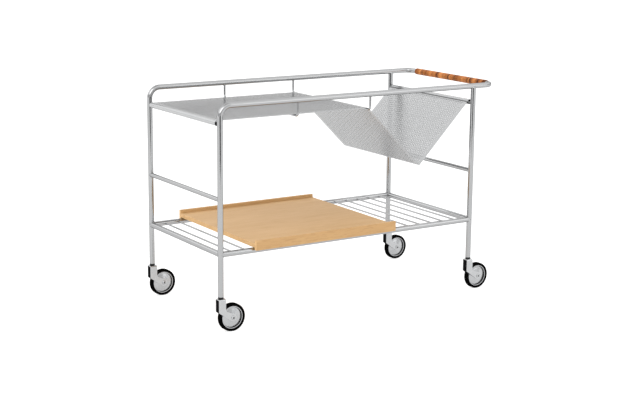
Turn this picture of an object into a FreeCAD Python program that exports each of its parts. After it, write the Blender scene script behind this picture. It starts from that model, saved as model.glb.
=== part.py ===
"""Storage trolley: chromed tube frame on four casters, a perforated sheet that runs as a shelf and then
drops into a V pocket, a wire shelf with a loose wooden board below, and a cane-bound push handle.

Millimetres. +X runs along the trolley to its handle, +Y to its back, +Z up. The origin is on the floor,
under the middle of the trolley's box with the casters trailing towards the handle.
"""
import FreeCAD, Part
import math
import os
import Sketcher

SIZES = {
    # tube frame
    "leg_span_length": 816,
    "leg_span_width": 400,
    "rail_height": 594,
    "tube_diameter": 15,
    "tube_wall": 1.5,
    "top_bend": 30,
    "handle_reach": 71,
    "handle_bend": 28,
    "leg_end_height": 96,
    # cross bars, the upper two below the top rails
    "shelf_bar_drop": 46.6,
    "middle_bar_drop": 243,
    "cross_bar_diameter": 12,
    "low_rail_height": 208,
    # shelf wires
    "shelf_wire_diameter": 4,
    "shelf_wire_count": 19,
    # hanger wires, from the left legs
    "hanger_diameter": 5,
    "hanger_bend": 10,
    "hanger_inset": 2,
    "first_hanger_place": 234,
    "second_hanger_place": 463,
    # perforated sheet
    "sheet_thickness": 1.2,
    "sheet_width": 372,
    "sheet_gap": 0.1,
    "sheet_fold_radius": 3,
    "pocket_place": 641,
    "pocket_drop": 167,
    "sheet_roll_angle": 250,
    # grid of openings that stands for the sheet's perforation
    "opening_columns": 12,
    "opening_bar": 12,
    "sheet_edge": 18,
    # cane winding on the handle
    "cane_thickness": 1.5,
    "cane_length": 320,
    "cane_loops": 22,
    "cane_gap": 0.6,
    "cane_seat_gap": 0.1,
    # wooden board
    "board_place": 96,
    "board_length": 446,
    "panel_thickness": 12,
    "batten_thickness": 10,
    "batten_height": 30,
    "batten_edge_round": 1.2,
    "tongue_thickness": 4,
    "tongue_depth": 5,
    "board_side_gap": 0.7,
    "board_seat_gap": 0.3,
    # casters
    "wheel_diameter": 75,
    "caster_trail": 31,
    "tyre_width": 14,
    "tyre_depth": 6.5,
    "tyre_edge_round": 4,
    "wheel_hub_diameter": 18,
    "wheel_face_diameter": 52,
    "wheel_groove_width": 2,
    "wheel_rim_width": 12.5,
    "wheel_face_width": 11.5,
    "fork_gap": 16,
    "fork_plate": 2.5,
    "fork_cap_width": 20,
    "fork_cap_round": 5,
    "fork_lobe_diameter": 20,
    "fork_shoulder_height": 55,
    "stem_diameter": 8,
    "stem_plug_length": 35,
    "stem_head_diameter": 12,
    "stem_head_height": 2,
    "collar_height": 5,
    "axle_diameter": 6,
    "axle_sleeve_diameter": 10,
    "axle_head_diameter": 11,
    "axle_head_height": 3,
    "axle_nut_width": 10,
    "axle_nut_height": 5,
    "axle_tip": 0.5,
    "running_gap": 0.05,
    "side_gap": 0.3,
}

doc = FreeCAD.newDocument("storage_trolley")
sheet = doc.addObject("Spreadsheet::Sheet", "Dim")
for row, (alias, number) in enumerate(SIZES.items(), start=1):
    sheet.set(f"A{row}", alias)
    sheet.set(f"B{row}", str(number))
    sheet.setAlias(f"B{row}", alias)
doc.recompute()

pieces = []

# Places shared by several pieces, as expressions of the sheet's cells.
GRIP_RADIUS = "(Dim.tube_diameter / 2 + Dim.cane_seat_gap + Dim.cane_thickness)"
FRONT_REACH = "min(Dim.caster_trail - Dim.wheel_diameter / 2; -Dim.fork_cap_width / 2; -Dim.tube_diameter / 2)"
BOX_MIDDLE = f"((Dim.handle_reach + {GRIP_RADIUS} + {FRONT_REACH}) / 2)"
LEFT = f"(-Dim.leg_span_length / 2 - {BOX_MIDDLE})"
RIGHT = f"(Dim.leg_span_length / 2 - {BOX_MIDDLE})"
HANDLE = f"({RIGHT} + Dim.handle_reach)"
SIDE = "Dim.leg_span_width / 2"
TUBE_BORE = "(Dim.tube_diameter - 2 * Dim.tube_wall)"
SHELF_BAR = "(Dim.rail_height - Dim.shelf_bar_drop)"
MIDDLE_BAR = "(Dim.rail_height - Dim.middle_bar_drop)"
SHEET_UNDERSIDE = f"({SHELF_BAR} + Dim.cross_bar_diameter / 2 + Dim.sheet_gap)"
HANGER_HEIGHT = f"({SHEET_UNDERSIDE} - Dim.sheet_gap - Dim.hanger_diameter / 2)"
HANGER_SIDE = f"({SIDE} - Dim.hanger_inset)"
PANEL_UNDERSIDE = "(Dim.low_rail_height + Dim.tube_diameter / 2 + Dim.board_seat_gap)"
BATTEN_INNER = f"({SIDE} + Dim.tube_diameter / 2 + Dim.board_side_gap)"
FORK_TOP = "(Dim.leg_end_height - Dim.collar_height - Dim.side_gap)"
FORK_WIDTH = "(Dim.fork_gap + 2 * Dim.fork_plate)"
AXLE_HEIGHT = "Dim.wheel_diameter / 2"

# Points looked at on each arc of the winding when its gap to itself is measured.
WINDING_SAMPLES = 17


def value(expression):
    """The present value of an expression of the sheet's cells."""
    return float(sheet.evalExpression(expression))


def new_body(label):
    """An empty body for one piece of the trolley."""
    body = doc.addObject("PartDesign::Body", label)
    body.Label = label
    pieces.append(body)
    return body


def new_sketch(body, plane, at):
    """A sketch on one of the body's origin planes, moved so that its own origin is at the point given."""
    support = [item for item in body.Origin.OriginFeatures if item.Role == plane][0]
    sketch = body.newObject("Sketcher::SketchObject", "Sketch")
    sketch.AttachmentSupport = [(support, "")]
    sketch.MapMode = "FlatFace"
    across, along, up = at
    shifts = {
        "XY_Plane": (across, along, up),
        "XZ_Plane": (across, up, f"-({along})"),
        "YZ_Plane": (along, up, across),
    }
    for axis, expression in zip("xyz", shifts[plane]):
        sketch.setExpression(f"AttachmentOffset.Base.{axis}", expression)
    return sketch


def bind_point(sketch, curve, point, at):
    """Hold one point of a sketch curve at the place that two expressions give."""
    for kind, expression in zip(("DistanceX", "DistanceY"), at):
        rule = Sketcher.Constraint(kind, -1, 1, curve, point, value(expression))
        number = sketch.addConstraint(rule)
        sketch.setExpression(f"Constraints[{number}]", expression)


def circle(sketch, diameter, at=None):
    """A circle of bound diameter, on the sketch's origin or at a bound place."""
    middle = FreeCAD.Vector(0, 0, 0)
    if at:
        middle = FreeCAD.Vector(value(at[0]), value(at[1]), 0)
    curve = sketch.addGeometry(Part.Circle(middle, FreeCAD.Vector(0, 0, 1), value(diameter) / 2), False)
    if at:
        bind_point(sketch, curve, 3, at)
    else:
        sketch.addConstraint(Sketcher.Constraint("Coincident", curve, 3, -1, 1))
    number = sketch.addConstraint(Sketcher.Constraint("Diameter", curve, value(diameter)))
    sketch.setExpression(f"Constraints[{number}]", diameter)


def outline(sketch, corners):
    """A closed outline of straight lines through bound corners."""
    points = [FreeCAD.Vector(value(across), value(up), 0) for across, up in corners]
    lines = []
    for start, end in zip(points, points[1:] + points[:1]):
        lines.append(sketch.addGeometry(Part.LineSegment(start, end), False))
    for line, following in zip(lines, lines[1:] + lines[:1]):
        sketch.addConstraint(Sketcher.Constraint("Coincident", line, 2, following, 1))
    for line, corner in zip(lines, corners):
        bind_point(sketch, line, 1, corner)


def turning_axis(sketch, start, end):
    """A construction line that a revolved section turns about, by the right-hand rule."""
    ends = [FreeCAD.Vector(value(across), value(up), 0) for across, up in (start, end)]
    line = sketch.addGeometry(Part.LineSegment(*ends), True)
    bind_point(sketch, line, 1, start)
    bind_point(sketch, line, 2, end)


def pad(body, sketch, length, backwards=False, both_ways=False):
    """Thicken a sketch by a bound length."""
    feature = body.newObject("PartDesign::Pad", "Pad")
    feature.Profile = sketch
    feature.setExpression("Length", length)
    feature.Reversed = backwards
    if both_ways:
        feature.SideType = "Symmetric"
    return feature


def cut_through(body, sketch):
    """Cut a sketch's shape right through the body, both ways, and make sure that something went."""
    doc.recompute()
    before = body.Shape.Volume
    feature = body.newObject("PartDesign::Pocket", "Pocket")
    feature.Profile = sketch
    feature.Type = "ThroughAll"
    feature.SideType = "Symmetric"
    doc.recompute()
    if body.Shape.Volume >= before:
        raise ValueError(f"a cut in {body.Label} removed nothing")
    return feature


def revolve(body, sketch, angle="360"):
    """Turn a sketch about its construction line."""
    feature = body.newObject("PartDesign::Revolution", "Revolution")
    feature.Profile = sketch
    feature.ReferenceAxis = (sketch, ["Axis0"])
    feature.setExpression("Angle", angle)
    return feature


def section(body, plane, at, diameter, bore=None):
    """A sketch of a round bar's section, hollow where a bore is given."""
    sketch = new_sketch(body, plane, at)
    circle(sketch, diameter)
    if bore:
        circle(sketch, bore)
    return sketch


def straight(body, plane, at, length, diameter, bore=None, backwards=False):
    """A straight run of bar or tube."""
    pad(body, section(body, plane, at, diameter, bore), length, backwards)


def quarter_bend(body, plane, at, axis, diameter, bore=None):
    """A quarter bend of bar or tube that starts in the given plane."""
    sketch = section(body, plane, at, diameter, bore)
    turning_axis(sketch, *axis)
    revolve(body, sketch, "90")


def round_edges(body, radius, chosen):
    """Round the body's edges that a test picks."""
    doc.recompute()
    names = [f"Edge{i}" for i, edge in enumerate(body.Shape.Edges, start=1) if chosen(edge)]
    if not names:
        raise ValueError(f"no edge of {body.Label} was picked for rounding")
    base = body.Tip
    feature = body.newObject("PartDesign::Fillet", "Fillet")
    feature.Base = (base, names)
    feature.setExpression("Radius", radius)
    doc.recompute()


def side_tube(label, side, outward):
    """Left leg, top rail and half the handle, bent from one tube. outward is -1 in front and 1 behind."""
    body = new_body(label)
    tube = ("Dim.tube_diameter", TUBE_BORE)
    leg_top = "(Dim.rail_height - Dim.top_bend)"
    rail_start = f"({LEFT} + Dim.top_bend)"
    rail_end = f"({HANDLE} - Dim.handle_bend)"
    bar_start = f"{outward} * ({SIDE} - Dim.handle_bend)"
    straight(body, "XY_Plane", (LEFT, side, "Dim.leg_end_height"), f"{leg_top} - Dim.leg_end_height", *tube)
    leg_axis = (("Dim.top_bend", "0"), ("Dim.top_bend", "Dim.top_bend"))
    quarter_bend(body, "XY_Plane", (LEFT, side, leg_top), leg_axis, *tube)
    straight(body, "YZ_Plane", (rail_start, side, "Dim.rail_height"), f"{rail_end} - {rail_start}", *tube)
    inward = f"{-outward} * Dim.handle_bend"
    handle_axis = ((inward, "0"), (inward, inward))
    quarter_bend(body, "YZ_Plane", (rail_end, side, "Dim.rail_height"), handle_axis, *tube)
    bar_length = f"{SIDE} - Dim.handle_bend"
    straight(body, "XZ_Plane", (HANDLE, bar_start, "Dim.rail_height"), bar_length, *tube, backwards=outward < 0)


def right_leg(label, side):
    """Straight leg, its top coped to the underside of the top rail."""
    body = new_body(label)
    top = "(Dim.rail_height - Dim.tube_diameter / 4)"
    foot = (RIGHT, side, "Dim.leg_end_height")
    straight(body, "XY_Plane", foot, f"{top} - Dim.leg_end_height", "Dim.tube_diameter", TUBE_BORE)
    cut_through(body, section(body, "YZ_Plane", (RIGHT, side, "Dim.rail_height"), "Dim.tube_diameter"))


def cross_bar(label, place, height, diameter, bore=None, meets_rails=False):
    """Bar from a front leg to a back leg, its ends coped to the legs and, low down, to the long rails."""
    body = new_body(label)
    end = f"({SIDE} - Dim.tube_diameter / 3)"
    straight(body, "XZ_Plane", (place, f"-{end}", height), f"2 * {end}", diameter, bore, backwards=True)
    for side in (f"-{SIDE}", SIDE):
        cut_through(body, section(body, "XY_Plane", (place, side, "0"), "Dim.tube_diameter"))
        if meets_rails:
            cut_through(body, section(body, "YZ_Plane", (place, side, height), "Dim.tube_diameter"))


def low_rail(label, side):
    """Long bottom rail between a left and a right leg, coped to both."""
    body = new_body(label)
    start = f"({LEFT} + Dim.tube_diameter / 4)"
    length = "Dim.leg_span_length - Dim.tube_diameter / 2"
    at = (start, side, "Dim.low_rail_height")
    straight(body, "YZ_Plane", at, length, "Dim.tube_diameter", TUBE_BORE)
    for place in (LEFT, RIGHT):
        cut_through(body, section(body, "XY_Plane", (place, side, "0"), "Dim.tube_diameter"))


def shelf_wires():
    """Straight wires across the bottom frame, evenly spaced from leg to leg."""
    body = new_body("shelf_wires")
    pitch = "(Dim.leg_span_length / (Dim.shelf_wire_count + 1))"
    reach = f"({SIDE} - Dim.tube_diameter / 2)"
    first = section(
        body, "XZ_Plane", (f"{LEFT} + {pitch}", f"-{reach}", "Dim.low_rail_height"), "Dim.shelf_wire_diameter"
    )
    wire = pad(body, first, f"2 * {reach}", backwards=True)
    doc.recompute()
    row = body.newObject("PartDesign::LinearPattern", "Row")
    row.Originals = [wire]
    row.Direction = ([item for item in body.Origin.OriginFeatures if item.Role == "X_Axis"][0], [""])
    row.setExpression("Length", f"(Dim.shelf_wire_count - 1) * {pitch}")
    row.setExpression("Occurrences", "Dim.shelf_wire_count")
    body.Tip = row


def hanger_wire(label, place):
    """U of wire that hangs from both top rails and carries the sheet on its level run."""
    body = new_body(label)
    wire = "Dim.hanger_diameter"
    bend_top = f"({HANGER_HEIGHT} + Dim.hanger_bend)"
    drop = f"Dim.rail_height - Dim.tube_diameter / 2 - {bend_top}"
    run_start = f"({HANGER_SIDE} - Dim.hanger_bend)"
    bend = "Dim.hanger_bend"
    straight(body, "XY_Plane", (place, f"-{HANGER_SIDE}", bend_top), drop, wire)
    quarter_bend(body, "XY_Plane", (place, f"-{HANGER_SIDE}", bend_top), (("0", bend), (bend, bend)), wire)
    at = (place, f"-{run_start}", HANGER_HEIGHT)
    straight(body, "XZ_Plane", at, f"2 * {run_start}", wire, backwards=True)
    quarter_bend(body, "XZ_Plane", (place, run_start, HANGER_HEIGHT), (("0", bend), (bend, bend)), wire)
    straight(body, "XY_Plane", (place, HANGER_SIDE, bend_top), drop, wire)


def belt(rounds):
    """Edges of a taut line round circles in the XZ plane.

    Each round is (x, z, radius): the line passes over a circle of positive radius and under one of
    negative radius, so straight stretches touch both of their circles.
    """
    touches = []
    for (x1, z1, r1), (x2, z2, r2) in zip(rounds, rounds[1:]):
        away = math.hypot(x2 - x1, z2 - z1)
        slope = math.atan2(z2 - z1, x2 - x1) + math.asin((r2 - r1) / away)
        across = FreeCAD.Vector(-math.sin(slope), 0, math.cos(slope))
        start = FreeCAD.Vector(x1, 0, z1) + across * r1
        end = FreeCAD.Vector(x2, 0, z2) + across * r2
        touches.append((start, end, across))
    return touches


def arc_over(middle, radius, first, last):
    """Arc about a point of the XZ plane, between two directions given as angles up from +X."""
    points = []
    for angle in (first, (first + last) / 2, last):
        points.append(middle + FreeCAD.Vector(math.cos(angle), 0, math.sin(angle)) * radius)
    return Part.Arc(*points).toShape()


def sheet_line(lift):
    """Line of the folded sheet's section: its underside with no lift, its top with the sheet's thickness."""
    bar = value("Dim.cross_bar_diameter") / 2 + value("Dim.sheet_gap") + lift
    wire = value("Dim.hanger_diameter") / 2 + value("Dim.sheet_gap") + lift
    fold = value("Dim.sheet_fold_radius") + value("Dim.sheet_thickness") - lift
    fold_height = value(f"{SHELF_BAR} - Dim.pocket_drop") + fold + lift
    left = value(LEFT)
    rounds = [
        (left, value(SHELF_BAR), bar),
        (left + value("Dim.second_hanger_place"), value(HANGER_HEIGHT), wire),
        (left + value("Dim.pocket_place"), fold_height, -fold),
        (value(RIGHT), value(SHELF_BAR), bar),
    ]
    touches = belt(rounds)
    middles = [FreeCAD.Vector(x, 0, z) for x, z, radius in rounds]
    angles = [math.atan2(across.z, across.x) for start, end, across in touches]
    roll = math.radians(value("Dim.sheet_roll_angle"))
    edges = [arc_over(middles[0], bar, angles[0] + roll, angles[0])]
    edges.append(Part.LineSegment(touches[0][0], touches[0][1]).toShape())
    edges.append(arc_over(middles[1], wire, angles[0], angles[1]))
    edges.append(Part.LineSegment(touches[1][0], touches[1][1]).toShape())
    edges.append(arc_over(middles[2], -fold, angles[1], angles[2]))
    edges.append(Part.LineSegment(touches[2][0], touches[2][1]).toShape())
    edges.append(arc_over(middles[3], bar, angles[2], angles[2] - roll))
    return edges


def sheet_openings():
    """Boxes for a plain grid of openings through each straight stretch of the sheet."""
    columns = int(value("Dim.opening_columns"))
    bar = value("Dim.opening_bar")
    edge = value("Dim.sheet_edge")
    size = (value("Dim.sheet_width") - 2 * edge - (columns - 1) * bar) / columns
    deep = 4 * value("Dim.sheet_thickness")
    pitch = size + bar
    boxes = []
    for stretch in sheet_line(value("Dim.sheet_thickness") / 2)[1::2]:
        start, end = (vertex.Point for vertex in stretch.Vertexes)
        tilt = FreeCAD.Rotation(FreeCAD.Vector(1, 0, 0), end - start)
        rows = int((stretch.Length - 2 * edge + bar) / pitch)
        for row in range(rows):
            along = stretch.Length / 2 + (row - (rows - 1) / 2) * pitch
            middle = start + (end - start) * (along / stretch.Length)
            for column in range(columns):
                across = FreeCAD.Vector(0, (column - (columns - 1) / 2) * pitch, 0)
                box = Part.makeBox(size, size, deep, FreeCAD.Vector(-size / 2, -size / 2, -deep / 2))
                box.Placement = FreeCAD.Placement(middle + across, tilt)
                boxes.append(box)
    return Part.makeCompound(boxes)


def folded_sheet():
    """Sheet rolled round both end bars, level over the hanger wires, then folded down and up as a V."""
    underside = sheet_line(0)
    top = sheet_line(value("Dim.sheet_thickness"))
    ends = []
    for index, vertex in ((0, 0), (-1, -1)):
        low = underside[index].Vertexes[vertex].Point
        high = top[index].Vertexes[vertex].Point
        ends.append(Part.LineSegment(low, high).toShape())
    face = Part.Face(Part.Wire(Part.__sortEdges__(underside + top + ends)))
    width = value("Dim.sheet_width")
    face.translate(FreeCAD.Vector(0, -width / 2, 0))
    piece = doc.addObject("Part::Feature", "sheet_shelf")
    piece.Label = "sheet_shelf"
    piece.Shape = face.extrude(FreeCAD.Vector(0, width, 0)).cut(sheet_openings())
    pieces.append(piece)


def biarc(start, leaving, end, arriving):
    """Two arcs that leave one point along a direction, meet smoothly and reach another along a direction."""
    chord = end - start
    ways = leaving + arriving
    spread = 2 * (1 - leaving.dot(arriving))
    along = chord.dot(ways)
    handle = (math.sqrt(along * along + spread * chord.dot(chord)) - along) / spread
    first_corner = start + leaving * handle
    second_corner = end - arriving * handle
    joint = (first_corner + second_corner) * 0.5
    arcs = []
    for near, corner, far in ((start, first_corner, joint), (joint, second_corner, end)):
        middle = (near + far) * 0.5
        half_turn = near.sub(corner).getAngle(far.sub(corner)) / 2
        crown = corner.sub(middle).Length * math.sin(half_turn) / (1 + math.sin(half_turn))
        arcs.append(Part.Arc(near, middle + corner.sub(middle).normalize() * crown, far).toShape())
    return arcs


def least_gap(arcs, turns, edge):
    """Least distance, on points, between one edge of a wound strip and the other edge a turn later."""
    points = []
    for arc in arcs:
        points += arc.discretize(Number=WINDING_SAMPLES)[:-1]
    one_turn = len(points) // turns
    gaps = []
    for index, point in enumerate(points[:-one_turn]):
        nearby = points[index + one_turn // 2 : index + one_turn + one_turn // 2]
        gaps.append(min((point + edge).distanceToPoint(other - edge) for other in nearby))
    return min(gaps)


def cane_winding():
    """Flat cane wound round the handle bar, each turn laid close beside the last."""
    turns = int(value("Dim.cane_loops"))
    pitch = value("Dim.cane_length") / (turns + 1)
    thickness = value("Dim.cane_thickness")
    radius = value(f"{GRIP_RADIUS} - Dim.cane_thickness / 2")
    width = pitch - value("Dim.cane_gap")
    slope = pitch / (2 * math.pi)
    stations = []
    for quarter in range(4 * turns + 1):
        angle = math.pi / 2 * quarter
        place = slope * angle - pitch * turns / 2
        point = FreeCAD.Vector(radius * math.cos(angle), place, radius * math.sin(angle))
        way = FreeCAD.Vector(-radius * math.sin(angle), slope, radius * math.cos(angle)).normalize()
        stations.append((point, way))
    arcs = []
    for (start, leaving), (end, arriving) in zip(stations, stations[1:]):
        arcs += biarc(start, leaving, end, arriving)
    across = FreeCAD.Vector(thickness / 2, 0, 0)
    edge = FreeCAD.Vector(0, width / 2, 0)
    start = stations[0][0]
    corners = [start - across - edge, start + across - edge, start + across + edge, start - across + edge]
    shell = Part.BRepOffsetAPI.MakePipeShell(Part.Wire(arcs))
    shell.setBiNormalMode(FreeCAD.Vector(0, 1, 0))
    shell.add(Part.makePolygon(corners + corners[:1]))
    shell.build()
    shell.makeSolid()
    print("cane winding, least gap to itself", round(least_gap(arcs, turns, edge), 2))
    piece = doc.addObject("Part::Feature", "cane_winding")
    piece.Label = "cane_winding"
    piece.Shape = shell.shape()
    middle = FreeCAD.Vector(value(HANDLE), 0, value("Dim.rail_height"))
    piece.Placement = FreeCAD.Placement(middle, FreeCAD.Rotation())
    pieces.append(piece)


def board():
    """Panel with tongues on its long edges, and a grooved batten along each of them."""
    start = f"({LEFT} + Dim.board_place)"
    top = f"({PANEL_UNDERSIDE} + Dim.panel_thickness)"
    middle = f"({PANEL_UNDERSIDE} + Dim.panel_thickness / 2)"
    tongue_low = f"({middle} - Dim.tongue_thickness / 2)"
    tongue_high = f"({middle} + Dim.tongue_thickness / 2)"
    tongue_tip = f"({BATTEN_INNER} + Dim.tongue_depth)"
    panel = new_body("board_panel")
    sketch = new_sketch(panel, "YZ_Plane", (start, "0", "0"))
    half = [
        (BATTEN_INNER, PANEL_UNDERSIDE),
        (BATTEN_INNER, tongue_low),
        (tongue_tip, tongue_low),
        (tongue_tip, tongue_high),
        (BATTEN_INNER, tongue_high),
        (BATTEN_INNER, top),
    ]
    mirrored = [(f"-{across}", up) for across, up in reversed(half)]
    outline(sketch, half + mirrored)
    pad(panel, sketch, "Dim.board_length")
    batten_low = f"({middle} - Dim.batten_height / 2)"
    batten_high = f"({middle} + Dim.batten_height / 2)"
    outer = f"({BATTEN_INNER} + Dim.batten_thickness)"
    grooved = [
        (BATTEN_INNER, batten_low),
        (outer, batten_low),
        (outer, batten_high),
        (BATTEN_INNER, batten_high),
        (BATTEN_INNER, tongue_high),
        (tongue_tip, tongue_high),
        (tongue_tip, tongue_low),
        (BATTEN_INNER, tongue_low),
    ]
    for label, sign in (("board_batten_front", "-"), ("board_batten_back", "")):
        batten = new_body(label)
        sketch = new_sketch(batten, "YZ_Plane", (start, "0", "0"))
        outline(sketch, [(f"{sign}{across}", up) for across, up in grooved])
        pad(batten, sketch, "Dim.board_length")
        levels = (value(batten_low), value(batten_high))
        round_edges(
            batten,
            "Dim.batten_edge_round",
            lambda edge: edge.BoundBox.ZLength < 1e-6
            and edge.BoundBox.XLength > 1
            and min(abs(edge.BoundBox.ZMin - level) for level in levels) < 1e-6,
        )


def place_at_leg(piece, place, side):
    """Move a caster piece, made about its own stem axis, under its leg."""
    piece.setExpression("Placement.Base.x", place)
    piece.setExpression("Placement.Base.y", side)


def fork(body):
    """Fork pressed from plate: a cap, and two cheeks that lean back to a lobe round the axle."""
    half_cap = "Dim.fork_cap_width / 2"
    lobe = "Dim.fork_lobe_diameter / 2"
    # The cheek's edges run along 3-4-5 and 5-12-13 slopes, so that they meet the lobe as tangents.
    rise = f"(Dim.caster_trail + {lobe} * 5 / 13 - {half_cap}) * 5 / 12"
    arm = [
        (f"-{half_cap}", FORK_TOP),
        (f"-{half_cap}", "Dim.fork_shoulder_height"),
        (f"Dim.caster_trail - 0.6 * {lobe}", f"{AXLE_HEIGHT} - 0.8 * {lobe}"),
        (f"Dim.caster_trail + {lobe} * 5 / 13", f"{AXLE_HEIGHT} + {lobe} * 12 / 13"),
        (half_cap, f"{AXLE_HEIGHT} + {lobe} * 12 / 13 + {rise}"),
        (half_cap, FORK_TOP),
    ]
    sketch = new_sketch(body, "XZ_Plane", ("0", "0", "0"))
    outline(sketch, arm)
    pad(body, sketch, FORK_WIDTH, both_ways=True)
    axle = ("Dim.caster_trail", "0", AXLE_HEIGHT)
    pad(body, section(body, "XZ_Plane", axle, "Dim.fork_lobe_diameter"), FORK_WIDTH, both_ways=True)
    round_edges(
        body,
        "Dim.fork_cap_round",
        lambda edge: edge.BoundBox.XLength < 1e-6
        and edge.BoundBox.YLength < 1e-6
        and abs(abs(edge.BoundBox.XMin) - value(half_cap)) < 1e-6,
    )
    gap = new_sketch(body, "YZ_Plane", ("0", "0", "0"))
    cap_underside = f"{FORK_TOP} - Dim.fork_plate"
    half_gap = "Dim.fork_gap / 2"
    outline(
        gap,
        [
            (f"-{half_gap}", f"-{AXLE_HEIGHT}"),
            (half_gap, f"-{AXLE_HEIGHT}"),
            (half_gap, cap_underside),
            (f"-{half_gap}", cap_underside),
        ],
    )
    cut_through(body, gap)
    cut_through(body, section(body, "XZ_Plane", axle, "Dim.axle_diameter"))
    cut_through(body, section(body, "XY_Plane", ("0", "0", "0"), "Dim.stem_diameter"))


def turned_piece(body, corners):
    """Piece turned about the stem axis from a half section of (radius, height) corners."""
    sketch = new_sketch(body, "XZ_Plane", ("0", "0", "0"))
    turning_axis(sketch, ("0", "0"), ("0", "Dim.wheel_diameter"))
    outline(sketch, corners)
    revolve(body, sketch)


def wheel_piece(body, corners):
    """Piece turned about the axle from a half section of (place along the axle, radius) corners."""
    sketch = new_sketch(body, "YZ_Plane", ("Dim.caster_trail", "0", AXLE_HEIGHT))
    turning_axis(sketch, ("0", "0"), ("Dim.wheel_diameter", "0"))
    outline(sketch, corners)
    revolve(body, sketch)


def stem(body):
    """Stem with a rivet head under the fork's cap, turning in the leg's plug."""
    radius = "Dim.stem_diameter / 2"
    under_cap = f"({FORK_TOP} - Dim.fork_plate)"
    head_end = f"{under_cap} - Dim.stem_head_height"
    top = "Dim.leg_end_height + Dim.stem_plug_length"
    turned_piece(
        body,
        [
            ("0", head_end),
            ("Dim.stem_head_diameter / 2", head_end),
            ("Dim.stem_head_diameter / 2", under_cap),
            (radius, under_cap),
            (radius, f"{top} - {radius} / 4"),
            (f"{radius} * 3 / 4", top),
            ("0", top),
        ],
    )


def collar(body):
    """Plastic plug in the leg's end, with the collar that shows between the leg and the fork."""
    bore = "Dim.stem_diameter / 2 + Dim.running_gap"
    plug = f"{TUBE_BORE} / 2 - Dim.running_gap"
    low = "Dim.leg_end_height - Dim.collar_height"
    top = "Dim.leg_end_height + Dim.stem_plug_length"
    turned_piece(
        body,
        [
            (bore, low),
            ("Dim.tube_diameter / 2", low),
            ("Dim.tube_diameter / 2", "Dim.leg_end_height"),
            (plug, "Dim.leg_end_height"),
            (plug, top),
            (bore, top),
        ],
    )


def axle_sleeve(body):
    """Steel sleeve held between the fork's cheeks, on which the wheel turns."""
    half = "Dim.fork_gap / 2"
    wheel_piece(
        body,
        [
            (f"-{half}", "Dim.axle_diameter / 2"),
            (half, "Dim.axle_diameter / 2"),
            (half, "Dim.axle_sleeve_diameter / 2"),
            (f"-{half}", "Dim.axle_sleeve_diameter / 2"),
        ],
    )


def axle_bolt(body):
    """Bolt through both cheeks, with a low domed head in front and room for its nut behind."""
    cheek = f"{FORK_WIDTH} / 2"
    radius = "Dim.axle_diameter / 2"
    head = "Dim.axle_head_diameter / 2"
    tip = f"{cheek} + Dim.axle_nut_height + Dim.axle_tip"
    wheel_piece(
        body,
        [
            (f"-{cheek} - Dim.axle_head_height", "0"),
            (f"-{cheek} - Dim.axle_head_height", f"{head} * 2 / 3"),
            (f"-{cheek} - Dim.axle_head_height / 2", head),
            (f"-{cheek}", head),
            (f"-{cheek}", radius),
            (tip, radius),
            (tip, "0"),
        ],
    )


def axle_nut(body):
    """Hexagon nut on the bolt's end, behind the back cheek."""
    nut = new_sketch(body, "XZ_Plane", ("Dim.caster_trail", f"{FORK_WIDTH} / 2", AXLE_HEIGHT))
    across_corners = "Dim.axle_nut_width / 2 / cos(30)"
    corners = []
    for step in range(6):
        angle = 60 * step
        corners.append((f"{across_corners} * cos({angle})", f"{across_corners} * sin({angle})"))
    outline(nut, corners)
    circle(nut, "Dim.axle_diameter")
    pad(body, nut, "Dim.axle_nut_height", backwards=True)


def wheel(body):
    """Moulded wheel: hub, dished face, a groove round the face, and the rim that carries the tyre."""
    bore = "Dim.axle_sleeve_diameter / 2 + Dim.running_gap"
    hub = "(Dim.fork_gap / 2 - Dim.side_gap)"
    face = "Dim.wheel_face_width / 2"
    rim = "Dim.wheel_rim_width / 2"
    groove = f"({face} - Dim.wheel_groove_width)"
    face_radius = "(Dim.wheel_face_diameter / 2)"
    groove_radius = f"({face_radius} + Dim.wheel_groove_width)"
    rim_radius = f"({AXLE_HEIGHT} - Dim.tyre_depth)"
    half = [
        (hub, bore),
        (hub, "Dim.wheel_hub_diameter / 2"),
        (face, face_radius),
        (groove, face_radius),
        (groove, groove_radius),
        (rim, groove_radius),
        (rim, rim_radius),
    ]
    mirrored = [(f"-{along}", radius) for along, radius in reversed(half)]
    wheel_piece(body, half + mirrored)


def tyre(body):
    """Solid tyre with a rounded tread."""
    half = "Dim.tyre_width / 2"
    seat = f"{AXLE_HEIGHT} - Dim.tyre_depth"
    tread = AXLE_HEIGHT
    wheel_piece(body, [(f"-{half}", seat), (half, seat), (half, tread), (f"-{half}", tread)])
    outer = value(tread)
    round_edges(
        body,
        "Dim.tyre_edge_round",
        lambda edge: hasattr(edge.Curve, "Radius") and abs(edge.Curve.Radius - outer) < 1e-6,
    )


def caster(corner, place, side):
    """One caster's pieces and the collar in its leg, all made about the stem axis."""
    makers = (
        ("fork", fork),
        ("stem", stem),
        ("axle_bolt", axle_bolt),
        ("axle_nut", axle_nut),
        ("axle_sleeve", axle_sleeve),
        ("wheel", wheel),
        ("tyre", tyre),
        ("collar", collar),
    )
    for name, make in makers:
        body = new_body(f"{corner}_{name}")
        make(body)
        place_at_leg(body, place, side)


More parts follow.
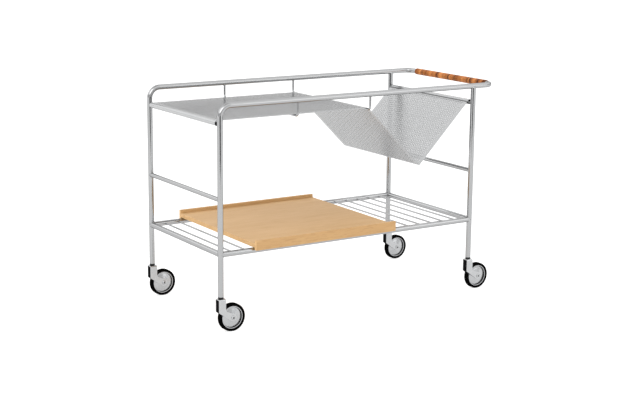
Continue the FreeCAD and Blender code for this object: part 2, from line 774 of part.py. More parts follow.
side_tube("side_tube_front", f"-{SIDE}", -1)
side_tube("side_tube_back", SIDE, 1)
right_leg("right_leg_front", f"-{SIDE}")
right_leg("right_leg_back", SIDE)
for end_name, end_place in (("left", LEFT), ("right", RIGHT)):
    cross_bar(f"{end_name}_shelf_bar", end_place, SHELF_BAR, "Dim.cross_bar_diameter")
    cross_bar(f"{end_name}_middle_bar", end_place, MIDDLE_BAR, "Dim.cross_bar_diameter")
    cross_bar(
        f"{end_name}_low_bar", end_place, "Dim.low_rail_height", "Dim.tube_diameter", TUBE_BORE, meets_rails=True
    )
low_rail("low_rail_front", f"-{SIDE}")
low_rail("low_rail_back", SIDE)
shelf_wires()
hanger_wire("hanger_wire_left", f"{LEFT} + Dim.first_hanger_place")
hanger_wire("hanger_wire_right", f"{LEFT} + Dim.second_hanger_place")
folded_sheet()
cane_winding()
board()
caster("front_left", LEFT, f"-{SIDE}")
caster("back_left", LEFT, SIDE)
caster("front_right", RIGHT, f"-{SIDE}")
caster("back_right", RIGHT, SIDE)

doc.recompute()
for item in doc.Objects:
    if "Invalid" in item.State or "Error" in item.State:
        raise ValueError(f"{item.Label} did not build: {item.State}")
for piece in pieces:
    if piece.Shape.isNull() or not piece.Shape.isValid():
        raise ValueError(f"{piece.Label} has no valid shape")

os.makedirs("parts", exist_ok=True)
for piece in pieces:
    piece.Shape.exportStep(f"parts/{piece.Label}.step")
    print(piece.Label, len(piece.Shape.Solids), round(piece.Shape.Volume, 1), piece.Shape.BoundBox)
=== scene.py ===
"""Storage trolley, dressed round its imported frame: chromed tubes, perforated sheet, cane-bound handle,
oak board and swivel casters. Metres, +X to the handle, +Y to the back, +Z up.
"""

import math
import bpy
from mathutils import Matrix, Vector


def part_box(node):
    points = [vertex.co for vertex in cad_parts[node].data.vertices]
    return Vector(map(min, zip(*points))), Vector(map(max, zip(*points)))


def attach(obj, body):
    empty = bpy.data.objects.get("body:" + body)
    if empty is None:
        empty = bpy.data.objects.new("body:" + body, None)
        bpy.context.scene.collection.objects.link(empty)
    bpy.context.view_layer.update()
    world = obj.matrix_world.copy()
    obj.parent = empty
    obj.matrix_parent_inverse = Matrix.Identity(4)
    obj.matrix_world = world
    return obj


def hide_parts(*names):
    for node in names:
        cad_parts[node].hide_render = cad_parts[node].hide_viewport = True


bl_info = {
    "name": "Storage trolley",
    "version": (1, 0, 0),
    "blender": (4, 5, 0),
    "location": "View3D > Sidebar > Trolley",
    "description": "Builds the storage trolley's visible pieces round its frame",
    "category": "Add Mesh",
}

import bmesh
import bpy
import numpy as np
from bpy.props import FloatProperty, FloatVectorProperty, IntProperty, PointerProperty
from mathutils import Matrix, Vector

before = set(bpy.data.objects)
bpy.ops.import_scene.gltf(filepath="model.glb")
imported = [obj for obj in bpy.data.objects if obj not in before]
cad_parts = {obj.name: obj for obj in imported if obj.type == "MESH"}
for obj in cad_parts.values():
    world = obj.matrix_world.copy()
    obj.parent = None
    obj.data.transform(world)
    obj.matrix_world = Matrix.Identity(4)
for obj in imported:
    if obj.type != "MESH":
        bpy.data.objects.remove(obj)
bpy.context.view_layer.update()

CORNERS = ("front_left", "back_left", "front_right", "back_right")
UP = Vector((0, 0, 1))
ALONG = Vector((1, 0, 0))
ACROSS = Vector((0, 1, 0))


def middle_of(node):
    """Middle of a frame node's box."""
    low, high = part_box(node)
    return (low + high) / 2


# Places that the frame gives.
LEFT = middle_of("left_shelf_bar").x
RIGHT = middle_of("right_shelf_bar").x
SIDE = middle_of("low_rail_back").y
HANDLE = middle_of("cane_winding").x
RAIL_HEIGHT = middle_of("cane_winding").z
SHELF_BAR_HEIGHT = middle_of("left_shelf_bar").z
MIDDLE_BAR_HEIGHT = middle_of("left_middle_bar").z
LOW_RAIL_HEIGHT = middle_of("low_rail_back").z
LEG_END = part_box("side_tube_front")[0].z
POCKET_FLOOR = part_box("sheet_shelf")[0].z
BOARD_LOW, BOARD_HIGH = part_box("board_panel")
BATTEN_LOW, BATTEN_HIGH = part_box("board_batten_back")


def hanger_run(node, tubes):
    """Middle of a hanger wire's level run as (x, z), with its top where the frame has it."""
    low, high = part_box(node)
    return Vector(((low.x + high.x) / 2, low.z + high.x - low.x - tubes.hanger))


def length(name, default, description):
    """A length property in metres."""
    return FloatProperty(
        name=name, description=description, default=default, min=0, unit="LENGTH", precision=5
    )


def turning(name, default, description):
    """An angle property."""
    return FloatProperty(name=name, description=description, default=default, subtype="ANGLE")


def power(name, default, description):
    """A property for a lamp's power in watts."""
    return FloatProperty(name=name, description=description, default=default, min=0, unit="POWER")


def brightness(name, default, description):
    """A property for the strength of a glow."""
    return FloatProperty(name=name, description=description, default=default, min=0)


def whole(name, default, description, least):
    """A property that holds a whole number."""
    return IntProperty(name=name, description=description, default=default, min=least)


def colour(name, default, description):
    """A colour property."""
    return FloatVectorProperty(
        name=name, description=description, default=default, size=4, min=0, max=1, subtype="COLOR"
    )


class TrolleyTubes(bpy.types.PropertyGroup):
    """Sizes and finish of the chromed tubes, bars and wires."""

    tube: length("Tube radius", 0.0075, "Radius of the frame's tubes")
    top_bend: length("Top bend", 0.030, "Bend radius from a left leg to its top rail")
    handle_bend: length("Handle bend", 0.028, "Bend radius from a top rail to the handle")
    bar: length("Bar radius", 0.006, "Radius of the upper and middle cross bars")
    bar_end: length("Bar end radius", 0.0034, "Radius of the upper bars' thin ends")
    recess: length("Recess", 0.009, "Depth of the hollow round an upper bar's end")
    shelf_wire: length("Shelf wire radius", 0.0023, "Radius of the wires of the bottom shelf")
    hanger: length("Hanger radius", 0.0030, "Radius of the two hanger wires")
    hanger_bend: length("Hanger bend", 0.010, "Bend radius of the hanger wires")
    weld: length("Weld radius", 0.0009, "Radius of the weld bead where a tube meets another")
    wires: whole("Shelf wires", 19, "Wires across the bottom shelf", 1)
    ring: whole("Ring points", 40, "Points round each tube", 8)
    bend_steps: whole("Bend steps", 24, "Steps along each quarter bend", 4)
    chrome: colour("Chrome", (0.37, 0.373, 0.377, 1), "Colour of the polished chrome")
    tint: colour("Edge tint", (0.6, 0.6, 0.6, 1), "Tint of the chrome where it is seen edge on")


class TrolleySheet(bpy.types.PropertyGroup):
    """Sizes and finish of the perforated sheet."""

    thickness: length("Thickness", 0.0012, "Thickness of the sheet")
    hole: length("Hole radius", 0.0018, "Radius of each hole")
    pitch: length("Hole pitch", 0.008, "Distance between neighbouring holes in a row")
    plain_edge: length("Plain edge", 0.009, "Unpunched strip along the sheet's two long edges")
    plain_fold: length("Plain fold", 0.003, "Least unpunched strip beside each fold and roll")
    seat_gap: length("Seat gap", 0.0001, "Gap between the sheet and what it lies on")
    fold: length("Fold radius", 0.003, "Inside radius of the pocket's fold")
    pocket_place: length("Pocket place", 0.641, "Distance from the left legs to the pocket's fold")
    roll: turning("Roll", math.radians(250), "Turn of the sheet round each end bar")
    grey: colour("Sheet", (0.37, 0.374, 0.378, 1), "Colour of the satin sheet")


class TrolleyCane(bpy.types.PropertyGroup):
    """Sizes and finish of the cane wound on the handle."""

    thickness: length("Thickness", 0.0019, "Thickness of the cane at its crown")
    rim: length("Rim thickness", 0.0012, "Thickness of the cane at its edges")
    gap: length("Gap", 0.0003, "Gap between neighbouring turns")
    reach: length("Reach", 0.010, "How far the winding runs on to the front bend")
    turns: whole("Turns", 55, "Turns of cane along the grip", 2)
    steps: whole("Steps", 48, "Steps round each turn", 8)
    pale: colour("Pale cane", (0.64, 0.245, 0.068, 1), "Lightest tone of the cane")
    warm: colour("Warm cane", (0.24, 0.062, 0.007, 1), "Usual tone of the cane")
    dark: colour("Cane joint", (0.055, 0.012, 0.002, 1), "Tone of the dark joints of the cane")


class TrolleyBoard(bpy.types.PropertyGroup):
    """Sizes and finish of the oak board."""

    batten: length("Batten height", 0.027, "Height of the battens")
    tongue: length("Tongue", 0.004, "Thickness of the tongue")
    edge: length("Edge", 0.0009, "Rounding of the wood's edges")
    pale: colour("Pale oak", (0.615, 0.385, 0.175, 1), "Lightest tone of the oak")
    warm: colour("Warm oak", (0.56, 0.332, 0.140, 1), "Usual tone of the oak")
    grain: colour("Oak grain", (0.44, 0.245, 0.095, 1), "Tone of the pores and grain lines")


class TrolleyCasters(bpy.types.PropertyGroup):
    """Sizes and finish of the four casters."""

    trail: length("Trail", 0.031, "Distance of the axle behind the stem")
    wheel: length("Wheel radius", 0.0375, "Radius of the wheel over its tyre")
    tyre_depth: length("Tyre depth", 0.0072, "Depth of the tyre")
    tyre_width: length("Tyre width", 0.0148, "Width of the tyre")
    tyre_round: length("Tyre round", 0.0020, "Rounding of the tyre's tread")
    bore: length("Wheel bore", 0.00505, "Radius of the wheel's bore, round its sleeve")
    hub: length("Hub radius", 0.0084, "Radius of the wheel's hub")
    rim: length("Rim half width", 0.0061, "Half the width of the wheel's rim")
    plate: length("Fork plate", 0.0025, "Thickness of the fork's plate")
    fork_width: length("Fork width", 0.021, "Width of the fork over its cheeks")
    fork_cap: length("Fork cap", 0.020, "Length of the fork's cap along the trolley")
    fork_bend: length("Fork bend", 0.0045, "Outside bend from the fork's cap to its cheeks")
    lobe: length("Fork lobe", 0.010, "Radius of the cheeks round the axle")
    crook: length("Fork crook", 0.008, "Inside rounding where the cheeks' back edges start to lean back")
    shoulder: length("Fork shoulder", 0.055, "Height where the cheeks' front edges start to lean back")
    axle: length("Axle radius", 0.003, "Radius of the axle bolt")
    head: length("Head radius", 0.0055, "Radius of the axle bolt's head")
    plug_bore: length("Plug bore", 0.00405, "Radius of the collar's bore, round the stem")
    ring: whole("Ring points", 72, "Points round each turned piece", 12)
    metal: colour("Fork metal", (0.45, 0.457, 0.465, 1), "Colour of the forks")
    face: colour("Wheel grey", (0.43, 0.437, 0.445, 1), "Colour of the wheels")
    rubber: colour("Rubber", (0.002, 0.002, 0.002, 1), "Colour of the tyres")
    plastic: colour("Black plastic", (0.014, 0.014, 0.015, 1), "Colour of the collars")


class TrolleyStage(bpy.types.PropertyGroup):
    """Floor, light and camera."""

    camera_place: FloatVectorProperty(
        name="Camera place",
        description="Where the camera stands",
        default=(-2.1032, -3.2252, 1.0870),
        subtype="XYZ",
    )
    camera_turn: turning("Camera turn", 0.5756, "Turn of the view from +Y towards +X")
    camera_dip: turning("Camera dip", 0.2097, "Tilt of the view below the horizon")
    camera_roll: turning("Camera roll", 0.0098, "Roll of the camera about its view")
    lens: FloatProperty(name="Lens", description="Focal length in millimetres", default=77.7, min=1)
    floor: colour("Floor", (0.45, 0.45, 0.45, 1), "Colour of the pale floor")
    glow: brightness("Floor glow", 0.7, "Strength of the floor's own light")
    key: power("Key light", 40, "Power of the key light in watts")
    fill: power("Fill light", 8, "Power of the fill light in watts")
    back: power("Back light", 9, "Power of the back light in watts")
    high_sky: brightness("High sky", 0.65, "Strength of the light from overhead")
    sky_band: brightness("Sky band", 1.55, "Strength of the light half-way up")
    low_sky: brightness("Low sky", 0.8, "Strength of the light from low down")
    horizon: brightness("Horizon", 1.0, "Strength of the light at the horizon")


def joined(shapes):
    """Several (points, faces) shapes as one."""
    points = []
    faces = []
    for shape_points, shape_faces in shapes:
        first = len(points)
        points += shape_points
        faces += [tuple(first + index for index in face) for face in shape_faces]
    return points, faces


def circle(count):
    """Cosine and sine at even steps round a circle."""
    angles = [2 * math.pi * step / count for step in range(count)]
    return [(math.cos(angle), math.sin(angle)) for angle in angles]


def band(first, second, ring):
    """Faces between two closed rings of points, given by the index of each ring's first point."""
    faces = []
    for step in range(ring):
        following = (step + 1) % ring
        faces.append((first + step, first + following, second + following, second + step))
    return faces


def lids(ring, last):
    """Faces that close a row of rings, at its first ring and at the ring that starts at an index."""
    return [tuple(reversed(range(ring))), tuple(range(last, last + ring))]


def grid_edge(rows, breadth):
    """Indices round the edge of a grid of points, along its first column first."""
    last = (rows - 1) * breadth
    edge = [row * breadth for row in range(rows)]
    edge += [last + column for column in range(1, breadth - 1)]
    edge += [row * breadth + breadth - 1 for row in reversed(range(rows))]
    return edge + list(range(breadth - 2, 0, -1))


def edge_walls(edge, count):
    """Faces along a closed edge, between a layer of points and a like one that many points further on."""
    pairs = zip(edge, edge[1:] + edge[:1])
    return [(first, count + first, count + second, second) for first, second in pairs]


def mirrored(half):
    """Half a closed outline and its mirror image, as one list of corners whose first value is mirrored."""
    return half + [(-across, *rest) for across, *rest in reversed(half)]


def shaded(tone, share):
    """A colour made lighter or darker by a share."""
    return tuple(min(part * share, 1) for part in tone[:3]) + (1,)


def add_piece(name, shape, material, sharp=35):
    """A mesh object, smooth apart from edges sharper than an angle in degrees."""
    points, faces = shape
    mesh = bpy.data.meshes.new(name)
    mesh.from_pydata([tuple(point) for point in points], [], faces)
    mesh.validate()
    mesh.materials.append(material)
    mesh.shade_smooth()
    mesh.set_sharp_from_angle(angle=math.radians(sharp))
    piece = bpy.data.objects.new(name, mesh)
    bpy.context.scene.collection.objects.link(piece)
    return piece


def fit(piece, body, slot, *nodes):
    """Let a piece ride on a body in place of its frame nodes."""
    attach(piece, body)
    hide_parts(*nodes)


def soften(piece, width, angle=40):
    """Round a piece's edges that are sharper than an angle in degrees."""
    bevel = piece.modifiers.new("Rounded edges", "BEVEL")
    bevel.width = width
    bevel.segments = 2
    bevel.limit_method = "ANGLE"
    bevel.angle_limit = math.radians(angle)
    bevel.harden_normals = True


def route(corners, bends, steps):
    """Points along straight runs from corner to corner, with an arc at each inner corner."""
    points = [corners[0]]
    for before, corner, after, bend in zip(corners, corners[1:], corners[2:], bends):
        back = (before - corner).normalized()
        ahead = (after - corner).normalized()
        half = back.angle(ahead) / 2
        middle = corner + (back + ahead).normalized() * (bend / math.sin(half))
        start = corner + back * (bend / math.tan(half)) - middle
        end = corner + ahead * (bend / math.tan(half)) - middle
        axis = start.cross(end).normalized()
        turn = math.pi - 2 * half
        for step in range(steps + 1):
            points.append(middle + Matrix.Rotation(turn * step / steps, 3, axis) @ start)
    points.append(corners[-1])
    return points


def swept(points, radius, ring):
    """A round bar along a route."""
    count = len(points)
    ways = []
    for index in range(count):
        before = points[max(index - 1, 0)]
        after = points[min(index + 1, count - 1)]
        ways.append((after - before).normalized())
    side = ways[0].orthogonal().normalized()
    vertices = []
    for index, (point, way) in enumerate(zip(points, ways)):
        if index:
            side = ways[index - 1].rotation_difference(way) @ side
        up = way.cross(side)
        vertices += [point + (side * cosine + up * sine) * radius for cosine, sine in circle(ring)]
    faces = []
    for index in range(count - 1):
        faces += band(index * ring, (index + 1) * ring, ring)
    return vertices, faces + lids(ring, (count - 1) * ring)


def weld_bead(rim, outward, radius, ring=8):
    """A bead along the closed rim where a bar meets a tube."""
    count = len(rim)
    vertices = []
    faces = []
    for index, point in enumerate(rim):
        way = (rim[(index + 1) % count] - rim[index - 1]).normalized()
        side = outward[index]
        up = way.cross(side).normalized()
        vertices += [point + (side * cosine + up * sine) * radius for cosine, sine in circle(ring)]
        faces += band(index * ring, (index + 1) % count * ring, ring)
    return vertices, faces


def coped_bar(start, end, radius, seats, seat_way, ring, weld):
    """A straight bar whose ends are cut to seat on tubes of the given radii, each with its weld bead.

    seat_way runs along the tubes, and a seat of 0 is a square end.
    """
    way = (end - start).normalized()
    beside = way.cross(seat_way)
    outward = [seat_way * cosine + beside * sine for cosine, sine in circle(ring)]
    beads = []
    rims = []
    for origin, sign, seat in ((start, 1, seats[0]), (end, -1, seats[1])):
        rim = []
        for out in outward:
            aside = out.dot(beside) * radius
            depth = math.sqrt(max(seat * seat - aside * aside, 0))
            rim.append(origin + way * (sign * depth) + out * radius)
        rims += rim
        if seat:
            beads.append(weld_bead(rim, outward, weld))
    return joined([(rims, band(0, ring, ring) + lids(ring, ring)), *beads])


def extruded(outline, low, high):
    """A (y, z) outline, anticlockwise seen from +X, stretched between two places along the trolley."""
    count = len(outline)
    points = [Vector((x, y, z)) for x in (low, high) for y, z in outline]
    return points, lids(count, count) + band(0, count, count)


def four_cornered(corners):
    """A flat shape with four corners."""
    return [Vector(corner) for corner in corners], [(0, 1, 2, 3)]


def rounded(corners, steps=5):
    """A closed line of (along, radius, rounding) corners with each corner turned to an arc."""
    line = []
    for index, (along, radius, rounding) in enumerate(corners):
        corner = Vector((along, radius))
        if rounding == 0:
            line.append(corner)
            continue
        back = (Vector(corners[index - 1][:2]) - corner).normalized()
        ahead = (Vector(corners[(index + 1) % len(corners)][:2]) - corner).normalized()
        half = back.angle(ahead) / 2
        middle = corner + (back + ahead).normalized() * (rounding / math.sin(half))
        start = corner + back * (rounding / math.tan(half)) - middle
        turn = start.angle_signed(corner + ahead * (rounding / math.tan(half)) - middle)
        for step in range(steps + 1):
            spin = Matrix.Rotation(-turn * step / steps, 2)
            line.append(middle + spin @ start)
    return line


def turned(line, origin, axis, ring):
    """A closed (along, radius) line turned about an axis through a point."""
    side = axis.orthogonal().normalized()
    up = axis.cross(side)
    count = len(line)
    points = []
    faces = []
    for step, (cosine, sine) in enumerate(circle(ring)):
        out = side * cosine + up * sine
        points += [origin + axis * along + out * radius for along, radius in line]
        faces += band(step * count, (step + 1) % ring * count, count)
    return points, faces


def close_up(piece):
    """Merge the points that meet on a piece's axis or tip, and turn all faces outward."""
    mesh = bmesh.new()
    mesh.from_mesh(piece.data)
    bmesh.ops.remove_doubles(mesh, verts=mesh.verts, dist=1e-6)
    bmesh.ops.dissolve_degenerate(mesh, edges=mesh.edges, dist=1e-7)
    bmesh.ops.recalc_face_normals(mesh, faces=mesh.faces)
    mesh.to_mesh(piece.data)
    mesh.free()


def turned_piece(name, line, origin, axis, ring, material, sharp=30):
    """A mesh object turned about an axis and closed on it."""
    piece = add_piece(name, turned(line, origin, axis, ring), material, sharp)
    close_up(piece)
    return piece


class Finish:
    """A material under construction: its principled shader and the nodes that feed it."""

    def __init__(self, name, **constants):
        self.material = bpy.data.materials.new(name)
        self.material.use_nodes = True
        self.tree = self.material.node_tree
        self.shader = self.tree.nodes["Principled BSDF"]
        for socket, number in constants.items():
            self.shader.inputs[socket.replace("_", " ")].default_value = number

    def node(self, kind, settings=None, **inputs):
        """A node whose inputs are set to numbers or linked to sockets."""
        made = self.tree.nodes.new(kind)
        for key, setting in (settings or {}).items():
            setattr(made, key, setting)
        for key, entry in inputs.items():
            socket = made.inputs[int(key[1:])] if key[0] == "i" and key[1:].isdigit() else made.inputs[key]
            if isinstance(entry, bpy.types.NodeSocket):
                self.tree.links.new(entry, socket)
            else:
                socket.default_value = entry
        return made

    def place(self, scale=(1, 1, 1), uv=False):
        """Coordinates in the trolley's frame, or on the piece's own unwrapped strip, times a scale."""
        coordinates = self.node("ShaderNodeTexCoord").outputs["UV" if uv else "Object"]
        return self.node("ShaderNodeMapping", Vector=coordinates, Scale=scale).outputs["Vector"]

    def noise(self, place, scale=1.0, detail=3.0, roughness=0.55, distortion=0.0):
        """Noise from 0 to 1."""
        inputs = {"Scale": scale, "Detail": detail, "Roughness": roughness, "Distortion": distortion}
        return self.node("ShaderNodeTexNoise", Vector=place, **inputs).outputs["Fac"]

    def spread(self, number, low, high, to_low=0.0, to_high=1.0):
        """A number moved from one range to another and held within it."""
        ranges = {"From Min": low, "From Max": high, "To Min": to_low, "To Max": to_high}
        return self.node("ShaderNodeMapRange", Value=number, **ranges).outputs["Result"]

    def times(self, first, second):
        """The product of two numbers."""
        return self.node("ShaderNodeMath", {"operation": "MULTIPLY"}, i0=first, i1=second).outputs[0]

    def blend(self, share, first, second):
        """A colour between two others."""
        made = self.node("ShaderNodeMix", {"data_type": "RGBA"}, i0=share, i6=first, i7=second)
        return made.outputs[2]

    def bump(self, height, strength, distance):
        """Surface relief, in metres, from a height."""
        made = self.node("ShaderNodeBump", Height=height, Strength=strength, Distance=distance)
        self.tree.links.new(made.outputs["Normal"], self.shader.inputs["Normal"])

    def feed(self, socket, source):
        """Link a source to one of the shader's sockets."""
        self.tree.links.new(source, self.shader.inputs[socket])

    def cloudy(self, clouds, tone, darker, paler):
        """Base colour that drifts from a darker to a paler shade of a tone."""
        self.feed("Base Color", self.blend(clouds, shaded(tone, darker), shaded(tone, paler)))


def chrome_finish(tubes):
    """Polished chrome: cloudy polish and very fine rubbing marks."""
    finish = Finish("polished_chrome", Base_Color=tubes.chrome, Metallic=1.0, Specular_Tint=tubes.tint)
    clouds = finish.noise(finish.place(), scale=38.0, detail=4.0)
    finish.feed("Roughness", finish.spread(clouds, 0.3, 0.75, to_low=0.07, to_high=0.15))
    rubbing = finish.noise(finish.place(), scale=1400.0, detail=2.0)
    finish.bump(rubbing, strength=0.04, distance=0.0002)
    return finish.material


def sheet_finish(name, sheet, shade):
    """Satin metal sheet, a little cloudy, with a faint rolling grain along its length."""
    finish = Finish(name, Metallic=0.88, Specular_IOR_Level=0.5)
    clouds = finish.noise(finish.place((6, 6, 6)), scale=1.6)
    finish.cloudy(clouds, sheet.grey, darker=shade * 0.95, paler=shade * 1.06)
    grain = finish.noise(finish.place((40, 900, 40)), detail=2.0)
    finish.feed("Roughness", finish.spread(grain, 0.25, 0.75, to_low=0.18, to_high=0.27))
    finish.bump(grain, strength=0.03, distance=0.0001)
    return finish.material


def cane_finish(cane):
    """Smoke-brown cane: fibres along the strip, tones that drift along it and dark joints."""
    finish = Finish("wound_cane", Specular_IOR_Level=0.15, Coat_Weight=0.03, Coat_Roughness=0.3)
    fibres = finish.noise(finish.place((14, 900, 1), uv=True), detail=4.0, roughness=0.6)
    drift = finish.noise(finish.place((5, 60, 1), uv=True), detail=2.0)
    blotches = finish.noise(finish.place((90, 260, 1), uv=True))
    tone = finish.blend(finish.spread(drift, 0.38, 0.64), cane.warm, cane.pale)
    streaked = finish.blend(finish.spread(fibres, 0.48, 0.85, to_high=0.6), tone, cane.dark)
    joint = finish.node("ShaderNodeAttribute", {"attribute_name": "joint_tone"}).outputs["Fac"]
    blotched = finish.times(joint, finish.spread(blotches, 0.2, 0.6, to_low=0.6))
    finish.feed("Base Color", finish.blend(blotched, streaked, cane.dark))
    finish.feed("Roughness", finish.spread(fibres, 0.3, 0.8, to_low=0.36, to_high=0.62))
    finish.bump(fibres, strength=0.35, distance=0.0003)
    return finish.material


def oak_finish(name, board, stretch, warmth, shade, figure=1.0):
    """Oiled oak: broad tones, long grain lines and short dark pores along the grain.

    stretch holds how fine the grain is along X, Y and Z, warmth how far the tone leans to the warm one, shade
    how light the wood is, which on the battens' sides is painted shade and on the ends painted light, and
    figure how strong its grain lines are.
    """
    line_fineness = 6.0
    pore_fineness = 22.0
    pale, warm, grain = (shaded(tone, shade) for tone in (board.pale, board.warm, board.grain))
    finish = Finish(name, Specular_IOR_Level=0.35)
    line_place = finish.place([part * line_fineness for part in stretch])
    pore_place = finish.place([part * pore_fineness for part in stretch])
    broad = finish.noise(finish.place(stretch), roughness=0.5, distortion=0.6)
    lines = finish.noise(line_place, detail=5.0, roughness=0.65, distortion=0.9)
    pores = finish.noise(pore_place, detail=2.0, roughness=0.6)
    tone = finish.blend(finish.spread(broad, 0.3, 0.7, to_high=warmth), pale, warm)
    lined = finish.blend(finish.spread(lines, 0.5, 0.78, to_high=0.36 * figure), tone, grain)
    dark = finish.spread(pores, 0.62, 0.74, to_high=0.25 * figure)
    finish.feed("Base Color", finish.blend(dark, lined, grain))
    finish.feed("Roughness", finish.spread(lines, 0.2, 0.8, to_low=0.46, to_high=0.62))
    finish.bump(pores, strength=0.12, distance=0.0003)
    return finish.material


def satin_finish(name, tone, gloss, grain, metallic=0.0, sheen=0.5):
    """Satin metal or plastic: roughness between the two values of gloss, and a grain of a given fineness."""
    finish = Finish(name, Metallic=metallic, Specular_IOR_Level=sheen)
    finish.cloudy(finish.noise(finish.place(), scale=55.0), tone, darker=0.94, paler=1.05)
    specks = finish.noise(finish.place(), scale=grain, detail=2.0)
    finish.feed("Roughness", finish.spread(specks, 0.3, 0.7, *gloss))
    finish.bump(specks, strength=0.05, distance=0.0002)
    return finish.material


class TROLLEY_OT_stage(bpy.types.Operator):
    """Make the pale floor, the soft lights and the camera"""

    bl_idname = "trolley.stage"
    bl_label = "Stage"

    # How far the floor runs each way.
    FLOOR_REACH = 60
    # Side and place of each lamp, and the spot that all of them point at.
    LAMPS = {
        "key": (2.6, (-2.6, -2.2, 2.9)),
        "fill": (1.5, (1.9, -2.9, 1.15)),
        "back": (2.2, (-1.9, 2.1, 1.25)),
    }
    LAMPS_AIM = Vector((0, 0, 0.3))
    # Dark screen: half its width, its height, its place, and its turn from the trolley's length.
    SCREEN_HALF = 0.95
    SCREEN_HEIGHT = 0.5
    SCREEN_PLACE = (-1.1, -2.37, 0)
    SCREEN_TURN = -0.293

    def execute(self, context):
        stage = context.scene.trolley_stage
        context.scene.view_settings.view_transform = "Standard"
        self.floor(stage)
        self.dark_screen()
        for name, (side, place) in self.LAMPS.items():
            self.light(f"{name}_light", getattr(stage, name), side, place)
        self.sky(context.scene, stage)
        self.camera(context.scene, stage)
        return {"FINISHED"}

    def floor(self, stage):
        """A pale floor that glows a little."""
        white = (1, 1, 1, 1)
        finish = Finish("pale_floor", Roughness=0.9, Emission_Color=white, Emission_Strength=stage.glow)
        clouds = finish.noise(finish.place(), scale=0.6, detail=2.0)
        finish.cloudy(clouds, stage.floor, darker=1.0, paler=1.02)
        reach = self.FLOOR_REACH
        corners = [(-reach, -reach, 0), (reach, -reach, 0), (reach, reach, 0), (-reach, reach, 0)]
        floor = add_piece("pale_floor", four_cornered(corners), finish.material)

    def dark_screen(self):
        """A low dark screen before the trolley, seen only in reflections."""
        finish = Finish("dark_screen", Base_Color=(0.01, 0.01, 0.01, 1), Roughness=0.9)
        half = self.SCREEN_HALF
        height = self.SCREEN_HEIGHT
        corners = [(-half, 0, 0), (half, 0, 0), (half, 0, height), (-half, 0, height)]
        screen = add_piece("dark_screen", four_cornered(corners), finish.material)
        screen.location = self.SCREEN_PLACE
        screen.rotation_euler.z = self.SCREEN_TURN
        screen.visible_camera = False
        screen.visible_diffuse = False
        screen.visible_shadow = False

    def light(self, name, watts, side, place):
        """A square lamp that points at the trolley."""
        lamp = bpy.data.lights.new(name, "AREA")
        lamp.energy = watts
        lamp.size = side
        light = bpy.data.objects.new(name, lamp)
        light.location = place
        aim = self.LAMPS_AIM - light.location
        light.rotation_euler = aim.to_track_quat("-Z", "Y").to_euler()
        bpy.context.scene.collection.objects.link(light)

    def sky(self, scene, stage):
        """Light from all round, strongest in a band half-way up.

        Its levels go by the rise of the light's way, from 0 at the horizon to 1 overhead.
        """
        world = bpy.data.worlds.new("studio_sky")
        world.use_nodes = True
        tree = world.node_tree
        background = tree.nodes["Background"]
        background.inputs["Color"].default_value = (1, 1, 1, 1)
        way = tree.nodes.new("ShaderNodeTexCoord")
        rise = tree.nodes.new("ShaderNodeSeparateXYZ")
        ramp = tree.nodes.new("ShaderNodeFloatCurve")
        curve = ramp.mapping.curves[0]
        ramp.mapping.use_clip = False
        levels = [
            (0.0, stage.horizon),
            (0.05, stage.horizon),
            (0.1, stage.low_sky),
            (0.2, stage.low_sky),
            (0.5, stage.sky_band),
            (1.0, stage.high_sky),
        ]
        for point, level in zip(curve.points, levels):
            point.location = level
        for level in levels[len(curve.points):]:
            curve.points.new(*level)
        ramp.mapping.update()
        tree.links.new(way.outputs["Generated"], rise.inputs["Vector"])
        tree.links.new(rise.outputs["Z"], ramp.inputs["Value"])
        tree.links.new(ramp.outputs["Value"], background.inputs["Strength"])
        scene.world = world

    def camera(self, scene, stage):
        """A camera at the photo's place and angle."""
        turn, dip, roll = stage.camera_turn, stage.camera_dip, stage.camera_roll
        ahead = Vector((math.cos(dip) * math.sin(turn), math.cos(dip) * math.cos(turn), -math.sin(dip)))
        level = Vector((math.cos(turn), -math.sin(turn), 0))
        upright = level.cross(ahead)
        right = level * math.cos(roll) + upright * math.sin(roll)
        up = upright * math.cos(roll) - level * math.sin(roll)
        lens = bpy.data.cameras.new("photo_camera")
        lens.lens = stage.lens
        lens.sensor_fit = "HORIZONTAL"
        lens.clip_end = 4 * self.FLOOR_REACH
        camera = bpy.data.objects.new("photo_camera", lens)
        columns = Matrix((right, up, -ahead)).transposed()
        camera.matrix_world = Matrix.Translation(stage.camera_place) @ columns.to_4x4()
        scene.collection.objects.link(camera)
        scene.camera = camera


